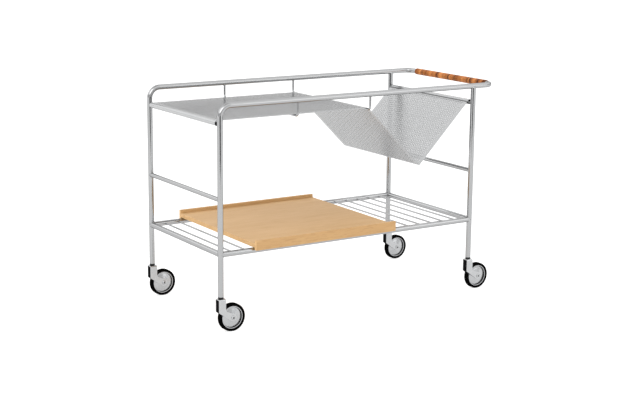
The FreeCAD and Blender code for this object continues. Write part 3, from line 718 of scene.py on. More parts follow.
class TROLLEY_OT_tubes(bpy.types.Operator):
    """Make the chromed tubes, legs, bars and wires"""

    bl_idname = "trolley.tubes"
    bl_label = "Tubes, bars and wires"

    # Points round a shelf wire and a hanger wire, and the size of their weld beads beside a tube's.
    SHELF_WIRE_RING = 20
    SHELF_WIRE_BEAD = 0.6
    HANGER_RING = 24
    HANGER_BEAD = 0.8
    # How far below a rail's middle a hanger wire's tip is, as a share of the rail's radius.
    HANGER_TIP = 0.9
    # Gap between an upper bar's thin end and the core round it.
    CORE_GAP = 0.00005

    def execute(self, context):
        tubes = context.scene.trolley_tubes
        self.chrome = chrome_finish(tubes)
        self.hoop(tubes)
        self.straight_tubes(tubes)
        self.shelf_wires(tubes)
        for node in ("hanger_wire_left", "hanger_wire_right"):
            self.hanger(node, tubes)
        return {"FINISHED"}

    def chromed(self, name, shape, *nodes):
        """A chromed piece of the frame, in place of its nodes."""
        fit(add_piece(name, shape, self.chrome), "frame", "chrome", *nodes)

    def hoop(self, tubes):
        """Left legs, top rails and handle as one bent tube."""
        front = [
            Vector((LEFT, -SIDE, LEG_END)),
            Vector((LEFT, -SIDE, RAIL_HEIGHT)),
            Vector((HANDLE, -SIDE, RAIL_HEIGHT)),
        ]
        corners = front + [corner * Vector((1, -1, 1)) for corner in reversed(front)]
        bends = [tubes.top_bend, tubes.handle_bend, tubes.handle_bend, tubes.top_bend]
        shape = swept(route(corners, bends, tubes.bend_steps), tubes.tube, tubes.ring)
        self.chromed("hoop_tube", shape, "side_tube_front", "side_tube_back")

    def straight_tubes(self, tubes):
        """Right legs, low rails and cross bars, cut to seat on the tubes that they meet."""
        seats = (tubes.tube, tubes.tube)
        for name, y in (("front", -SIDE), ("back", SIDE)):
            foot = Vector((RIGHT, y, LEG_END))
            top = Vector((RIGHT, y, RAIL_HEIGHT))
            leg = coped_bar(foot, top, tubes.tube, (0, tubes.tube), ALONG, tubes.ring, tubes.weld)
            self.chromed(f"{name}_right_leg", leg, f"right_leg_{name}")
            ends = [Vector((x, y, LOW_RAIL_HEIGHT)) for x in (LEFT, RIGHT)]
            rail = coped_bar(*ends, tubes.tube, seats, UP, tubes.ring, tubes.weld)
            self.chromed(f"{name}_low_rail", rail, f"low_rail_{name}")
        levels = (
            ("shelf", SHELF_BAR_HEIGHT, tubes.bar_end),
            ("middle", MIDDLE_BAR_HEIGHT, tubes.bar),
            ("low", LOW_RAIL_HEIGHT, tubes.tube),
        )
        for name, x in (("left", LEFT), ("right", RIGHT)):
            for level, height, radius in levels:
                ends = [Vector((x, y, height)) for y in (-SIDE, SIDE)]
                bar = coped_bar(*ends, radius, seats, UP, tubes.ring, tubes.weld)
                if level == "shelf":
                    bar = joined([bar, self.core(x, height, tubes)])
                self.chromed(f"{level}_bar_{name}", bar, f"{name}_{level}_bar")

    def core(self, x, height, tubes):
        """Thicker core of an upper bar, which fills the sheet's roll apart from a hollow at each end."""
        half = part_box("sheet_shelf")[1].y - tubes.recess
        bore = tubes.bar_end + self.CORE_GAP
        line = [(half, bore), (half, tubes.bar), (-half, tubes.bar), (-half, bore)]
        return turned(line, Vector((x, 0, height)), ACROSS, tubes.ring)

    def shelf_wires(self, tubes):
        """Wires across the bottom frame, at even steps between its ends."""
        seats = (tubes.tube, tubes.tube)
        bead = tubes.weld * self.SHELF_WIRE_BEAD
        shapes = []
        for number in range(1, tubes.wires + 1):
            x = LEFT + (RIGHT - LEFT) * number / (tubes.wires + 1)
            ends = [Vector((x, y, LOW_RAIL_HEIGHT)) for y in (-SIDE, SIDE)]
            shapes.append(coped_bar(*ends, tubes.shelf_wire, seats, ALONG, self.SHELF_WIRE_RING, bead))
        self.chromed("bottom_shelf_wires", joined(shapes), "shelf_wires")

    def hanger(self, node, tubes):
        """A hanger wire: a U below the sheet, welded under both top rails."""
        x, run = hanger_run(node, tubes)
        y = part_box(node)[1].y - tubes.hanger
        tip = RAIL_HEIGHT - tubes.tube * self.HANGER_TIP
        corners = [Vector((x, -y, tip)), Vector((x, -y, run)), Vector((x, y, run)), Vector((x, y, tip))]
        bends = [tubes.hanger_bend, tubes.hanger_bend]
        shapes = [swept(route(corners, bends, tubes.bend_steps // 2), tubes.hanger, self.HANGER_RING)]
        outward = [Vector((cosine, sine, 0)) for cosine, sine in circle(self.HANGER_RING)]
        for sign in (-1, 1):
            rim = []
            for out in outward:
                place = sign * y + out.y * tubes.hanger
                height = RAIL_HEIGHT - math.sqrt(tubes.tube**2 - (place - sign * SIDE) ** 2)
                rim.append(Vector((x + out.x * tubes.hanger, place, height)))
            shapes.append(weld_bead(rim, outward, tubes.weld * self.HANGER_BEAD))
        self.chromed(f"{node}_bent", joined(shapes), node)


class SheetLine:
    """Middle line of the folded sheet's section: arcs and straights from the left roll to the right one."""

    def __init__(self, sheet, tubes):
        half = sheet.thickness / 2
        bar = tubes.bar + sheet.seat_gap + half
        hanger = tubes.hanger + sheet.seat_gap + half
        fold = sheet.fold + half
        rounds = [
            (Vector((LEFT, SHELF_BAR_HEIGHT)), bar),
            (hanger_run("hanger_wire_right", tubes), hanger),
            (Vector((LEFT + sheet.pocket_place, POCKET_FLOOR + half + fold)), -fold),
            (Vector((RIGHT, SHELF_BAR_HEIGHT)), bar),
        ]
        slopes = []
        for (first, first_radius), (second, second_radius) in zip(rounds, rounds[1:]):
            away = second - first
            lean = math.asin((second_radius - first_radius) / away.length)
            slopes.append(math.atan2(away.y, away.x) + lean)
        turns = [(slopes[0] + sheet.roll, slopes[0])]
        turns += list(zip(slopes, slopes[1:]))
        turns.append((slopes[-1], slopes[-1] - sheet.roll))
        # An arc holds its middle, radius, first slope and last slope, a straight its ends and upward normal.
        # Both hold their length last.
        self.parts = []
        for index, ((middle, radius), (first, last)) in enumerate(zip(rounds, turns)):
            self.parts.append(("arc", middle, radius, first, last, abs(radius * (last - first))))
            if index < len(slopes):
                slope = slopes[index]
                up = Vector((-math.sin(slope), math.cos(slope)))
                start = middle + up * radius
                end = rounds[index + 1][0] + up * rounds[index + 1][1]
                self.parts.append(("straight", start, end, up, None, (end - start).length))

    def at(self, part, share):
        """Point and upward normal at a share of one part's length, as (x, z) pairs."""
        kind, first, second, third, fourth, _ = self.parts[part]
        if kind == "straight":
            return first.lerp(second, share), third
        slope = third + (fourth - third) * share
        up = Vector((-math.sin(slope), math.cos(slope)))
        return first + up * second, up


class TROLLEY_OT_sheet(bpy.types.Operator):
    """Make the perforated sheet with its rolled ends and its pocket"""

    bl_idname = "trolley.sheet"
    bl_label = "Perforated sheet"

    # Steps along each arc of the sheet's line: left roll, hanger fold, pocket fold and right roll.
    ARC_STEPS = {0: 44, 2: 8, 4: 10, 6: 44}
    ROLLS = (0, 6)
    # Points round each hole.
    RIM = 16
    # Painted shade on the sheet's grey: a darker copy for the pocket's left wall, and darker ones for the
    # holes' walls there and elsewhere.
    POCKET_SHADE = 0.93
    POCKET_HOLE_SHADE = 0.3
    HOLE_SHADE = 0.25
    # Crease below the right roll, sunk a little and painted dark as shade: the part it lies on, its lines'
    # distances from the roll, its depth.
    CREASED = 5
    CREASE = (0.0080, 0.0060, 0.0039)
    CREASE_DEPTH = 0.0006

    def execute(self, context):
        sheet = context.scene.trolley_sheet
        line = SheetLine(sheet, context.scene.trolley_tubes)
        satin = sheet_finish("satin_sheet", sheet, 1.0)
        # The pocket's left wall takes a copy of the sheet darkened by painted shade.
        pocket = sheet_finish("satin_pocket_wall", sheet, self.POCKET_SHADE)
        # The holes' walls take darker copies of the sheet: painted shade inside the holes.
        hole_wall_painted_shade = sheet_finish("dark_hole_walls", sheet, self.HOLE_SHADE)
        pocket_hole_wall_painted_shade = sheet_finish("pale_hole_walls", sheet, self.POCKET_HOLE_SHADE)
        low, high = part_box("sheet_shelf")
        self.width = high.y - low.y
        self.columns = int((self.width - 2 * sheet.plain_edge) / sheet.pitch)
        self.row = sheet.pitch * math.sqrt(3) / 2
        # Each piece's stretches of the line: the part, and the shares of it where they start and stop.
        pieces = {
            "sheet_level_left": [(0, 0, 1), (1, 0, 0.5)],
            "sheet_level_right": [(1, 0.5, 1), (2, 0, 1)],
            "sheet_pocket_left": [(3, 0, 1), (4, 0, 1)],
            "sheet_pocket_right": [(5, 0, 1), (6, 0, 1)],
        }
        for name, stretches in pieces.items():
            points, faces, slots = self.strip(line, stretches, sheet)
            finish, walls = (pocket, pocket_hole_wall_painted_shade) if name == "sheet_pocket_left" else (satin, hole_wall_painted_shade)
            piece = add_piece(name, (points, faces), finish, sharp=30)
            piece.data.materials.append(walls)
            piece.data.polygons.foreach_set("material_index", slots)
            fit(piece, "frame", "sheet", "sheet_shelf")
        return {"FINISHED"}

    def stations(self, line, stretches, sheet):
        """Cross lines of a piece as (part, share), the number of each punched row between two of them, and
        the first line of the crease.
        """
        lines = []
        rows = {}
        crease = None
        for part, first, last in stretches:
            extent = line.parts[part][-1]
            if part in self.ARC_STEPS:
                steps = self.ARC_STEPS[part]
                lines += [(part, step / steps) for step in range(1 if lines else 0, steps + 1)]
                continue
            count = int((extent - 2 * sheet.plain_fold) / self.row / 2) * 2
            margin = (extent - count * self.row) / 2
            start = 0 if first == 0 else count // 2
            stop = count if last == 1 else count // 2
            if first == 0 and not lines:
                lines.append((part, 0))
            for number in range(start, stop + 1):
                if number > start:
                    rows[len(lines) - 1] = number - 1
                lines.append((part, (margin + number * self.row) / extent))
            if part == self.CREASED:
                crease = len(lines)
                lines += [(part, 1 - away / extent) for away in self.CREASE]
            if last == 1:
                lines.append((part, 1))
        return lines, rows, crease

    def strip(self, line, stretches, sheet):
        """One piece of the sheet as points, faces and material slots: punched rows, plain margins, both
        faces, hole walls and edges. The holes' walls, the crease and the insides of the rolls take the darker
        copy of the sheet, as painted shade.
        """
        lines, rows, crease = self.stations(line, stretches, sheet)
        creased = () if crease is None else (crease, crease + 1)
        start = -self.columns * sheet.pitch / 2
        places = [-self.width / 2]
        places += [start + sheet.pitch / 2 * step for step in range(2 * self.columns + 1)]
        places.append(self.width / 2)
        breadth = len(places)
        flat = []
        spots = [line.at(part, share) for part, share in lines]
        for index in range(len(lines)):
            flat += [(index, 0.0, place) for place in places]
        faces = []
        painted_crease_shade = []
        painted_inside_shade = []
        holes = []
        for index in range(len(lines) - 1):
            here, there = index * breadth, (index + 1) * breadth
            if index in rows:
                odd = rows[index] % 2
                holes += self.punched_row(index, here, there, odd, places, flat, faces, sheet)
            else:
                for step in range(breadth - 1):
                    faces.append((here + step, there + step, there + step + 1, here + step + 1))
            # Creased faces take the dark walls' finish: painted shade along the crease.
            painted_crease_shade += [int(index in creased)] * (len(faces) - len(painted_crease_shade))
            # The rolls' inner faces take the dark walls' finish: painted shade in the hollow round the bar.
            painted_inside_shade += [int(lines[index + 1][0] in self.ROLLS)] * (len(faces) - len(painted_inside_shade))
        points = self.lifted(flat, spots, sheet.thickness / 2)
        # Only the crease's middle line is sunk.
        for index in creased[1:]:
            up = spots[index][1]
            sink = Vector((up.x, 0, up.y)) * self.CREASE_DEPTH
            for place in range(index * breadth, (index + 1) * breadth):
                points[place] -= sink
        points += self.lifted(flat, spots, -sheet.thickness / 2)
        solid = self.walled(faces, holes, len(flat), len(lines), breadth)
        slots = painted_crease_shade + painted_inside_shade + [1] * (self.RIM * len(holes))
        return points, solid, slots + [0] * (len(solid) - len(slots))

    def punched_row(self, index, here, there, odd, places, flat, faces, sheet):
        """Add one row of cells with their holes, and give the holes' rims."""
        first = 2 if odd else 1
        cells = self.columns - odd
        mids = len(flat)
        flat += [(index, self.row / 2, places[first + 2 * cell]) for cell in range(cells + 1)]
        rims = []
        for cell in range(cells):
            left = first + 2 * cell
            outer = [
                there + left + 1,
                there + left + 2,
                mids + cell + 1,
                here + left + 2,
                here + left + 1,
                here + left,
                mids + cell,
                there + left,
            ]
            rim = list(range(len(flat), len(flat) + self.RIM))
            for cosine, sine in circle(self.RIM):
                ahead = self.row / 2 + sheet.hole * cosine
                flat.append((index, ahead, places[left + 1] + sheet.hole * sine))
            share = self.RIM // len(outer)
            for step in range(len(outer)):
                arc = [rim[point % self.RIM] for point in range(share * (step + 1), share * step - 1, -1)]
                faces.append((outer[step], outer[(step + 1) % len(outer)], *arc))
            rims.append(rim)
        last = len(places) - 1
        end = first + 2 * cells
        faces.append((here + first - 1, there + first - 1, there + first, mids, here + first))
        faces.append((here + end, mids + cells, there + end, there + end + 1, here + end + 1))
        if odd:
            faces.append((here, there, there + 1, here + 1))
            faces.append((here + last - 1, there + last - 1, there + last, here + last))
        return rims

    def lifted(self, flat, spots, lift):
        """Flat points, given as cross line, distance past it and place across, on one face of the sheet."""
        points = []
        for index, ahead, across in flat:
            spot, up = spots[index]
            along = Vector((up.y, -up.x))
            place = spot + along * ahead + up * lift
            points.append(Vector((place.x, across, place.y)))
        return points

    def walled(self, faces, holes, count, lines, breadth):
        """Both faces of the sheet, the walls of its holes and its four edges."""
        solid = list(faces)
        solid += [tuple(count + index for index in reversed(face)) for face in faces]
        for rim in holes:
            solid += edge_walls(rim[::-1], count)
        return solid + edge_walls(grid_edge(lines, breadth), count)


class TROLLEY_OT_cane(bpy.types.Operator):
    """Wind the cane round the handle"""

    bl_idname = "trolley.cane"
    bl_label = "Cane winding"

    # Gap between the cane and the handle, and width that is left of the strip where its ends run out.
    SEAT_GAP = 0.0001
    SLIVER = 0.0004
    # How much thicker the cane is at a dark joint.
    SWELL = 0.06
    # Points across the crown, as shares of half the strip's width.
    CROWN = (-0.62, -0.25, 0.25, 0.62)
    # Dark joints of the cane: distance from the handle's middle towards the back, darkness, spread in turns.
    JOINTS = (
        (0.125, 0.75, 0.55),
        (0.104, 0.35, 0.5),
        (0.050, 0.85, 0.6),
        (-0.002, 0.9, 0.6),
        (-0.034, 0.9, 0.7),
        (-0.062, 0.4, 0.5),
        (-0.092, 0.7, 0.4),
        (-0.105, 1.0, 0.8),
        (-0.140, 0.8, 0.7),
        (-0.166, 1.0, 1.1),
    )

    def execute(self, context):
        cane = context.scene.trolley_cane
        tube = context.scene.trolley_tubes.tube
        low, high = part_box("cane_winding")
        near, far = low.y - cane.reach, high.y
        centre, half = (near + far) / 2, (far - near) / 2
        pitch = 2 * half / cane.turns
        width = pitch - cane.gap
        seat = tube + self.SEAT_GAP
        stop = (half + width / 2 - self.SLIVER) / pitch
        start = -stop
        steps = int((stop - start) * cane.steps)
        section = self.section(cane, width)
        points = []
        tones = []
        strip = []
        for step in range(steps + 1):
            turn = start + (stop - start) * step / steps
            angle = 2 * math.pi * turn
            out = Vector((math.cos(angle), 0, math.sin(angle)))
            tone = self.joint(centre + turn * pitch, pitch)
            for across, rise in section:
                place = max(near, min(far, centre + turn * pitch + across))
                height = seat + rise * (1 + self.SWELL * tone)
                points.append(Vector((HANDLE, place, RAIL_HEIGHT)) + out * height)
                tones.append(tone)
                strip.append((turn * 2 * math.pi * seat, across))
        breadth = len(section)
        faces = []
        for step in range(steps):
            for index in range(breadth):
                following = (index + 1) % breadth
                here, there = step * breadth, (step + 1) * breadth
                faces.append((here + index, there + index, there + following, here + following))
        faces.append(tuple(range(breadth)))
        faces.append(tuple(reversed(range(steps * breadth, (steps + 1) * breadth))))
        piece = add_piece("wound_cane", (points, faces), cane_finish(cane), sharp=60)
        self.mark(piece.data, tones, strip)
        fit(piece, "frame", "cane", "cane_winding")
        return {"FINISHED"}

    def section(self, cane, width):
        """Section of the strip as (across, rise): flat below and crowned above."""
        line = [(-width / 2, 0.0), (-width / 2, cane.rim)]
        for share in self.CROWN:
            crown = cane.rim + (cane.thickness - cane.rim) * (1 - share**2)
            line.append((share * width / 2, crown))
        line += [(width / 2, cane.rim), (width / 2, 0.0)]
        return line

    def joint(self, place, pitch):
        """How dark the cane is at a place along the handle, from 0 to 1."""
        tone = 0.0
        for middle, darkness, spread in self.JOINTS:
            away = (place - middle) / (pitch * spread)
            tone = max(tone, darkness * math.exp(-away * away))
        return tone

    def mark(self, mesh, tones, strip):
        """Store the joints' tone and the strip's own coordinates on the mesh."""
        tone = mesh.attributes.new("joint_tone", "FLOAT", "POINT")
        tone.data.foreach_set("value", tones)
        unwrapped = mesh.uv_layers.new(name="strip")
        corners = np.zeros(len(mesh.loops), dtype=np.int32)
        mesh.loops.foreach_get("vertex_index", corners)
        unwrapped.data.foreach_set("uv", np.array(strip)[corners].ravel())


class TROLLEY_OT_board(bpy.types.Operator):
    """Make the oak board's panel and battens"""

    bl_idname = "trolley.board"
    bl_label = "Oak board"

    # Least share of a face's normal that counts as facing one way.
    FACING = 0.9

    def execute(self, context):
        board = context.scene.trolley_board
        top = oak_finish("oak_panel", board, (2.2, 26.0, 26.0), warmth=0.75, shade=1.0, figure=1.5)
        # The battens' copy is darkened by painted shade and the ends' copy lightened by painted light; their
        # grain also differs.
        strip = oak_finish("oak_batten", board, (5.0, 45.0, 45.0), warmth=1.9, shade=0.83, figure=3.4)
        ends = oak_finish("oak_end", board, (30.0, 26.0, 26.0), warmth=1.0, shade=1.12)
        seam = BATTEN_LOW.y
        tip = BOARD_HIGH.y
        level = (BOARD_LOW.z + BOARD_HIGH.z) / 2
        low, high = level - board.tongue / 2, level + board.tongue / 2
        half = [
            (seam, BOARD_LOW.z),
            (seam, low),
            (tip, low),
            (tip, high),
            (seam, high),
            (seam, BOARD_HIGH.z),
        ]
        self.plank("oak_panel", mirrored(half), (top, ends, top), board, "board_panel")
        foot = BATTEN_HIGH.z - board.batten
        batten = [
            (seam, foot),
            (BATTEN_HIGH.y, foot),
            (BATTEN_HIGH.y, BATTEN_HIGH.z),
            (seam, BATTEN_HIGH.z),
            (seam, high),
            (tip, high),
            (tip, low),
            (seam, low),
        ]
        self.plank("oak_batten_back", batten, (strip, ends, top), board, "board_batten_back")
        front = [(-y, z) for y, z in reversed(batten)]
        self.plank("oak_batten_front", front, (strip, ends, top), board, "board_batten_front")
        return {"FINISHED"}

    def plank(self, name, outline, woods, board, node):
        """A piece of the board in the woods of its sides, its ends, and its top and inner faces: lit and
        shaded copies of one oak, with painted shade on the battens' sides and painted light on the ends and
        on the battens' top and inner faces.
        """
        sides, ends, top = woods
        piece = add_piece(name, extruded(outline, BOARD_LOW.x, BOARD_HIGH.x), sides)
        piece.data.materials.append(ends)
        piece.data.materials.append(top)
        # Faces take lit and shaded copies by the way they face: painted light on the ends, top and inner
        # faces.
        for face in piece.data.polygons:
            if abs(face.normal.x) > self.FACING:
                face.material_index = 1
            elif face.normal.z > self.FACING or face.normal.y * face.center.y < 0:
                face.material_index = 2
        soften(piece, board.edge)
        fit(piece, "board", "wood", node)


class TROLLEY_OT_casters(bpy.types.Operator):
    """Make the four casters and the collars above them"""

    bl_idname = "trolley.casters"
    bl_label = "Casters"

    # Where a cheek's front edge meets the lobe round the axle, as shares of its radius forward and down.
    FRONT_MEETS = (0.6, 0.8)
    # A cheek's back edge falls 5 for each 12 that it runs back, on a slant of 13.
    FALL = 5
    RUN = 12
    SLANT = 13
    # Levels up a cheek, how far the lower ones crowd together, steps along a bend, columns across the plate.
    CHEEK_LEVELS = 30
    CROWDING = 0.35
    BEND_STEPS = 8
    FORK_COLUMNS = 8
    # Rounding of the fork's and the nut's edges, and the number of the nut's sides.
    FORK_EDGE = 0.0005
    NUT_EDGE = 0.0006
    NUT_SIDES = 6
    # Bolt head from the middle of its socket out to its rim, as (depth, share of its radius).
    HEAD = (
        (0.0016, 0.0),
        (0.0016, 0.36),
        (0.0001, 0.40),
        (0.0, 0.52),
        (0.0005, 0.74),
        (0.0013, 0.91),
        (0.0022, 1.0),
    )
    # Share of the head's radius inside which its socket is painted dark as shade, and the chamfer at the
    # bolt's tip.
    SOCKET = 0.39
    CHAMFER = 0.0004
    # One side of a wheel's web as (half width, radius, rounding): the hub's foot, the web's middle, the deep
    # corner below the rim and the rim's inner edge.
    WEB = (
        (0.0062, 0.0104, 0.0012),
        (0.0044, 0.0190, 0.0040),
        (0.0022, 0.0273, 0.0003),
        (0.0058, 0.0282, 0.0003),
    )
    # Radii between which the rim's inner wall is painted dark as shade, and the least inward share of such a
    # face's normal.
    PAINTED_SHADE_WALL = (0.026, 0.0286)
    PAINTED_SHADE_TURN = 0.5
    # One side of a tyre from its seat to its fine line, as (depth, rise, rounding).
    TYRE_SIDE = (
        (0.0006, 0.0, 0.0003),
        (0.0, 0.0008, 0.0005),
        (0.0, 0.0016, 0.0002),
        (0.0005, 0.0019, 0.0002),
        (0.0, 0.0022, 0.0002),
    )
    # Depth of a collar's fine groove, and its start, bottom and end as shares of the collar's height.
    GROOVE = 0.0004
    GROOVE_AT = (0.55, 0.62, 0.69)
    # How much smaller than its collar a plug is all round, and how much of its length is made.
    PLUG_STEP = 0.0016
    PLUG_LENGTH = 0.004

    def execute(self, context):
        casters = context.scene.trolley_casters
        metal, plastic = casters.metal, casters.plastic
        self.metal = satin_finish("fork_metal", metal, gloss=(0.12, 0.2), grain=900.0, metallic=1.0)
        self.face = satin_finish("wheel_face", casters.face, gloss=(0.16, 0.24), grain=700.0, metallic=0.9)
        self.rubber = satin_finish("tyre_rubber", casters.rubber, gloss=(0.5, 0.7), grain=1200.0, sheen=0.0)
        self.plastic = satin_finish("black_plastic", plastic, gloss=(0.35, 0.5), grain=1000.0, sheen=0.2)
        # Black that stands in for shade: painted shade on the fork's inner faces, the bolt's socket and the
        # rim's inner wall.
        self.painted_inside_shade = satin_finish("fork_inside", plastic, gloss=(0.4, 0.6), grain=900.0, sheen=0.0)
        self.steel = satin_finish("bright_steel", metal, gloss=(0.2, 0.32), grain=1500.0, metallic=1.0)
        for corner in CORNERS:
            leg = middle_of(f"{corner}_stem")
            axle = middle_of(f"{corner}_axle_sleeve")
            self.fork(corner, leg, axle, casters)
            self.bolt(corner, axle, casters)
            self.nut(corner, axle)
            self.wheel(corner, axle, casters)
            self.tyre(corner, axle, casters)
            self.collar(corner, leg, casters)
            for name in ("stem", "axle_sleeve"):
                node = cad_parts[f"{corner}_{name}"]
                node.data.materials.clear()
                node.data.materials.append(self.steel)
        return {"FINISHED"}

    def cheek(self, height, axle, casters):
        """Front and back edge of a cheek at a height, measured from the stem's axis."""
        trail, lobe, crook = casters.trail, casters.lobe, casters.crook
        cap = casters.fork_cap / 2
        reach = math.sqrt(max(lobe**2 - (axle.z - height) ** 2, 0))
        front_foot = (trail - lobe * self.FRONT_MEETS[0], axle.z - lobe * self.FRONT_MEETS[1])
        back_foot = (trail + lobe * self.FALL / self.SLANT, axle.z + lobe * self.RUN / self.SLANT)
        back_top = back_foot[1] + (back_foot[0] - cap) * self.FALL / self.RUN
        tangent = crook * (self.SLANT - self.FALL) / self.RUN
        crook_high = back_top + tangent
        crook_low = back_top - tangent * self.FALL / self.SLANT
        if height >= casters.shoulder:
            front = -cap
        elif height >= front_foot[1]:
            share = (casters.shoulder - height) / (casters.shoulder - front_foot[1])
            front = -cap + (front_foot[0] + cap) * share
        else:
            front = trail - reach
        if height >= crook_high:
            back = cap
        elif height >= crook_low:
            back = cap + crook - math.sqrt(crook**2 - (height - crook_high) ** 2)
        elif height >= back_foot[1]:
            share = (back_top - height) / (back_top - back_foot[1])
            back = cap + (back_foot[0] - cap) * share
        else:
            back = trail + reach
        return front, back

    def fork_profile(self, top, bottom, casters):
        """Line up one cheek, over the wheel and down the other, as (y, z) with its outward way."""
        half = casters.fork_width / 2
        bend = casters.fork_bend
        profile = []
        for step in range(self.CHEEK_LEVELS + 1):
            share = step / self.CHEEK_LEVELS
            rise = share * (share * self.CROWDING + 1 - self.CROWDING)
            profile.append((-half, bottom + (top - bend - bottom) * rise, -1.0, 0.0))
        for step in range(1, self.BEND_STEPS + 1):
            angle = math.pi / 2 * step / self.BEND_STEPS
            out = (-math.cos(angle), math.sin(angle))
            profile.append((-half + bend + bend * out[0], top - bend + bend * out[1], *out))
        return profile + [(-y, z, -out_y, out_z) for y, z, out_y, out_z in reversed(profile)]

    def fork(self, corner, leg, axle, casters):
        """Pressed fork: one plate bent over the wheel, with cheeks that lean back to the axle."""
        profile = self.fork_profile(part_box(f"{corner}_fork")[1].z, axle.z - casters.lobe, casters)
        rows = len(profile)
        columns = self.FORK_COLUMNS
        breadth = columns + 1
        count = rows * breadth
        points = []
        for lift in (0.0, casters.plate):
            for y, z, out_y, out_z in profile:
                front, back = self.cheek(z, axle, casters)
                for column in range(breadth):
                    x = front + (back - front) * column / columns
                    points.append(Vector((leg.x + x, leg.y + y - out_y * lift, z - out_z * lift)))
        faces = []
        for row in range(rows - 1):
            for column in range(columns):
                here = row * breadth + column
                quad = (here, here + 1, here + breadth + 1, here + breadth)
                faces.append(quad)
                faces.append(tuple(count + index for index in reversed(quad)))
        inner = range(1, len(faces), 2)
        faces += edge_walls(grid_edge(rows, breadth)[::-1], count)
        piece = add_piece(f"{corner}_pressed_fork", (points, faces), self.metal, sharp=50)
        # The fork's inner faces are painted black as shade.
        piece.data.materials.append(self.painted_inside_shade)
        for index in inner:
            piece.data.polygons[index].material_index = 1
        close_up(piece)
        soften(piece, self.FORK_EDGE, angle=50)
        fit(piece, f"{corner}_swivel", "caster_metal", f"{corner}_fork")

    def bolt(self, corner, axle, casters):
        """Axle bolt with a low domed head and a shallow socket in it."""
        low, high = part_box(f"{corner}_axle_bolt")
        seat = -casters.fork_width / 2
        face = low.y - axle.y
        tip = high.y - axle.y
        line = [(face + depth, casters.head * share) for depth, share in self.HEAD]
        line += [
            (seat, casters.head),
            (seat, casters.axle),
            (tip - self.CHAMFER, casters.axle),
            (tip, casters.axle - self.CHAMFER),
            (tip, 0.0),
        ]
        piece = turned_piece(f"{corner}_bolt", line, axle, ACROSS, casters.ring // 2, self.steel, sharp=40)
        # The socket is painted dark as shade in the recess.
        piece.data.materials.append(self.painted_inside_shade)
        for spot in piece.data.polygons:
            out = spot.center - axle
            if out.xz.length < casters.head * self.SOCKET and out.y < seat:
                spot.material_index = 1
        fit(piece, f"{corner}_swivel", "steel", f"{corner}_axle_bolt")

    def nut(self, corner, axle):
        """Hexagon nut with rounded corners."""
        low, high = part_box(f"{corner}_axle_nut")
        radius = (high.x - low.x) / 2
        sides = self.NUT_SIDES
        points = []
        for y in (low.y, high.y):
            for cosine, sine in circle(sides):
                points.append(Vector((axle.x + radius * cosine, y, axle.z + radius * sine)))
        piece = add_piece(f"{corner}_nut", (points, lids(sides, sides) + band(0, sides, sides)), self.steel)
        close_up(piece)
        soften(piece, self.NUT_EDGE)
        fit(piece, f"{corner}_swivel", "steel", f"{corner}_axle_nut")

    def wheel(self, corner, axle, casters):
        """Moulded wheel: hub, face that falls to a deep corner, and bright rim."""
        low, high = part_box(f"{corner}_wheel")
        hub = (high.y - low.y) / 2
        seat = casters.wheel - casters.tyre_depth
        half = [
            (hub, casters.bore, 0.0004),
            (hub, casters.hub, 0.0008),
            *self.WEB,
            (casters.rim, seat, 0.0004),
        ]
        line = rounded(mirrored(half))
        piece = turned_piece(f"{corner}_disc", line, axle, ACROSS, casters.ring, self.face)
        # The rim's inner wall is painted dark as shade in the deep corner.
        piece.data.materials.append(self.painted_inside_shade)
        inner, outer = self.PAINTED_SHADE_WALL
        for face in piece.data.polygons:
            out = (face.center - axle) * Vector((1, 0, 1))
            if inner < out.length < outer and face.normal.dot(out) < -self.PAINTED_SHADE_TURN * out.length:
                face.material_index = 1
        fit(piece, f"{corner}_roller", "wheel_grey", f"{corner}_wheel")

    def tyre(self, corner, axle, casters):
        """Solid rubber tyre with a rounded tread and a fine line round each side."""
        seat = casters.wheel - casters.tyre_depth
        half = casters.tyre_width / 2
        side = [(half - depth, seat + rise, rounding) for depth, rise, rounding in self.TYRE_SIDE]
        side.append((half, casters.wheel, casters.tyre_round))
        line = rounded(mirrored(side), steps=8)
        piece = turned_piece(f"{corner}_rubber", line, axle, ACROSS, casters.ring, self.rubber)
        fit(piece, f"{corner}_roller", "tyre", f"{corner}_tyre")

    def collar(self, corner, leg, casters):
        """Black collar between a leg's end and its fork, with the start of its plug."""
        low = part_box(f"{corner}_collar")[0].z
        tube = bpy.context.scene.trolley_tubes.tube
        height = LEG_END - low
        plug = tube - self.PLUG_STEP
        start, bottom, end = (height * share for share in self.GROOVE_AT)
        corners = [
            (0.0, casters.plug_bore, 0.0),
            (0.0, tube, 0.0012),
            (start, tube, 0.0004),
            (bottom, tube - self.GROOVE, 0.0),
            (end, tube, 0.0004),
            (height, tube, 0.0002),
            (height, plug, 0.0),
            (height + self.PLUG_LENGTH, plug, 0.0),
            (height + self.PLUG_LENGTH, casters.plug_bore, 0.0),
        ]
        origin = Vector((leg.x, leg.y, low))
        piece = turned_piece(f"{corner}_leg_collar", rounded(corners), origin, UP, casters.ring, self.plastic)
        fit(piece, "frame", "black_plastic", f"{corner}_collar")


class TROLLEY_PT_sidebar(bpy.types.Panel):
    """Sidebar panel with the trolley's operators"""

    bl_idname = "TROLLEY_PT_sidebar"
    bl_label = "Storage trolley"
    bl_space_type = "VIEW_3D"
    bl_region_type = "UI"
    bl_category = "Trolley"

    def draw(self, context):
        for operator in OPERATORS:
            self.layout.operator(operator.bl_idname)


GROUPS = {
    "trolley_tubes": TrolleyTubes,
    "trolley_sheet": TrolleySheet,
    "trolley_cane": TrolleyCane,
    "trolley_board": TrolleyBoard,
    "trolley_casters": TrolleyCasters,
    "trolley_stage": TrolleyStage,
}
OPERATORS = (
    TROLLEY_OT_stage,
    TROLLEY_OT_tubes,
    TROLLEY_OT_sheet,
    TROLLEY_OT_cane,
    TROLLEY_OT_board,
    TROLLEY_OT_casters,
)


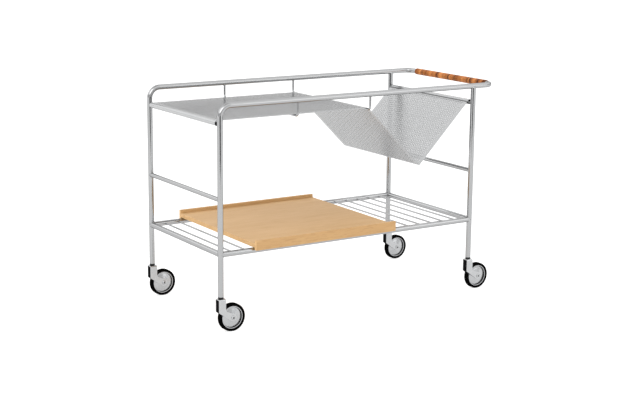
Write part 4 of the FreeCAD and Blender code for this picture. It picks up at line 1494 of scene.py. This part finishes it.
def register():
    """Register the classes and hang each group of settings on the scene."""
    for kind in (*GROUPS.values(), *OPERATORS, TROLLEY_PT_sidebar):
        bpy.utils.register_class(kind)
    for name, group in GROUPS.items():
        setattr(bpy.types.Scene, name, PointerProperty(type=group))


def unregister():
    """Undo register."""
    for name in GROUPS:
        delattr(bpy.types.Scene, name)
    for kind in reversed((*GROUPS.values(), *OPERATORS, TROLLEY_PT_sidebar)):
        bpy.utils.unregister_class(kind)


def main():
    """Build every piece in order."""
    register()
    bpy.ops.trolley.stage()
    bpy.ops.trolley.tubes()
    bpy.ops.trolley.sheet()
    bpy.ops.trolley.cane()
    bpy.ops.trolley.board()
    bpy.ops.trolley.casters()


if __name__ == "__main__":
    main()
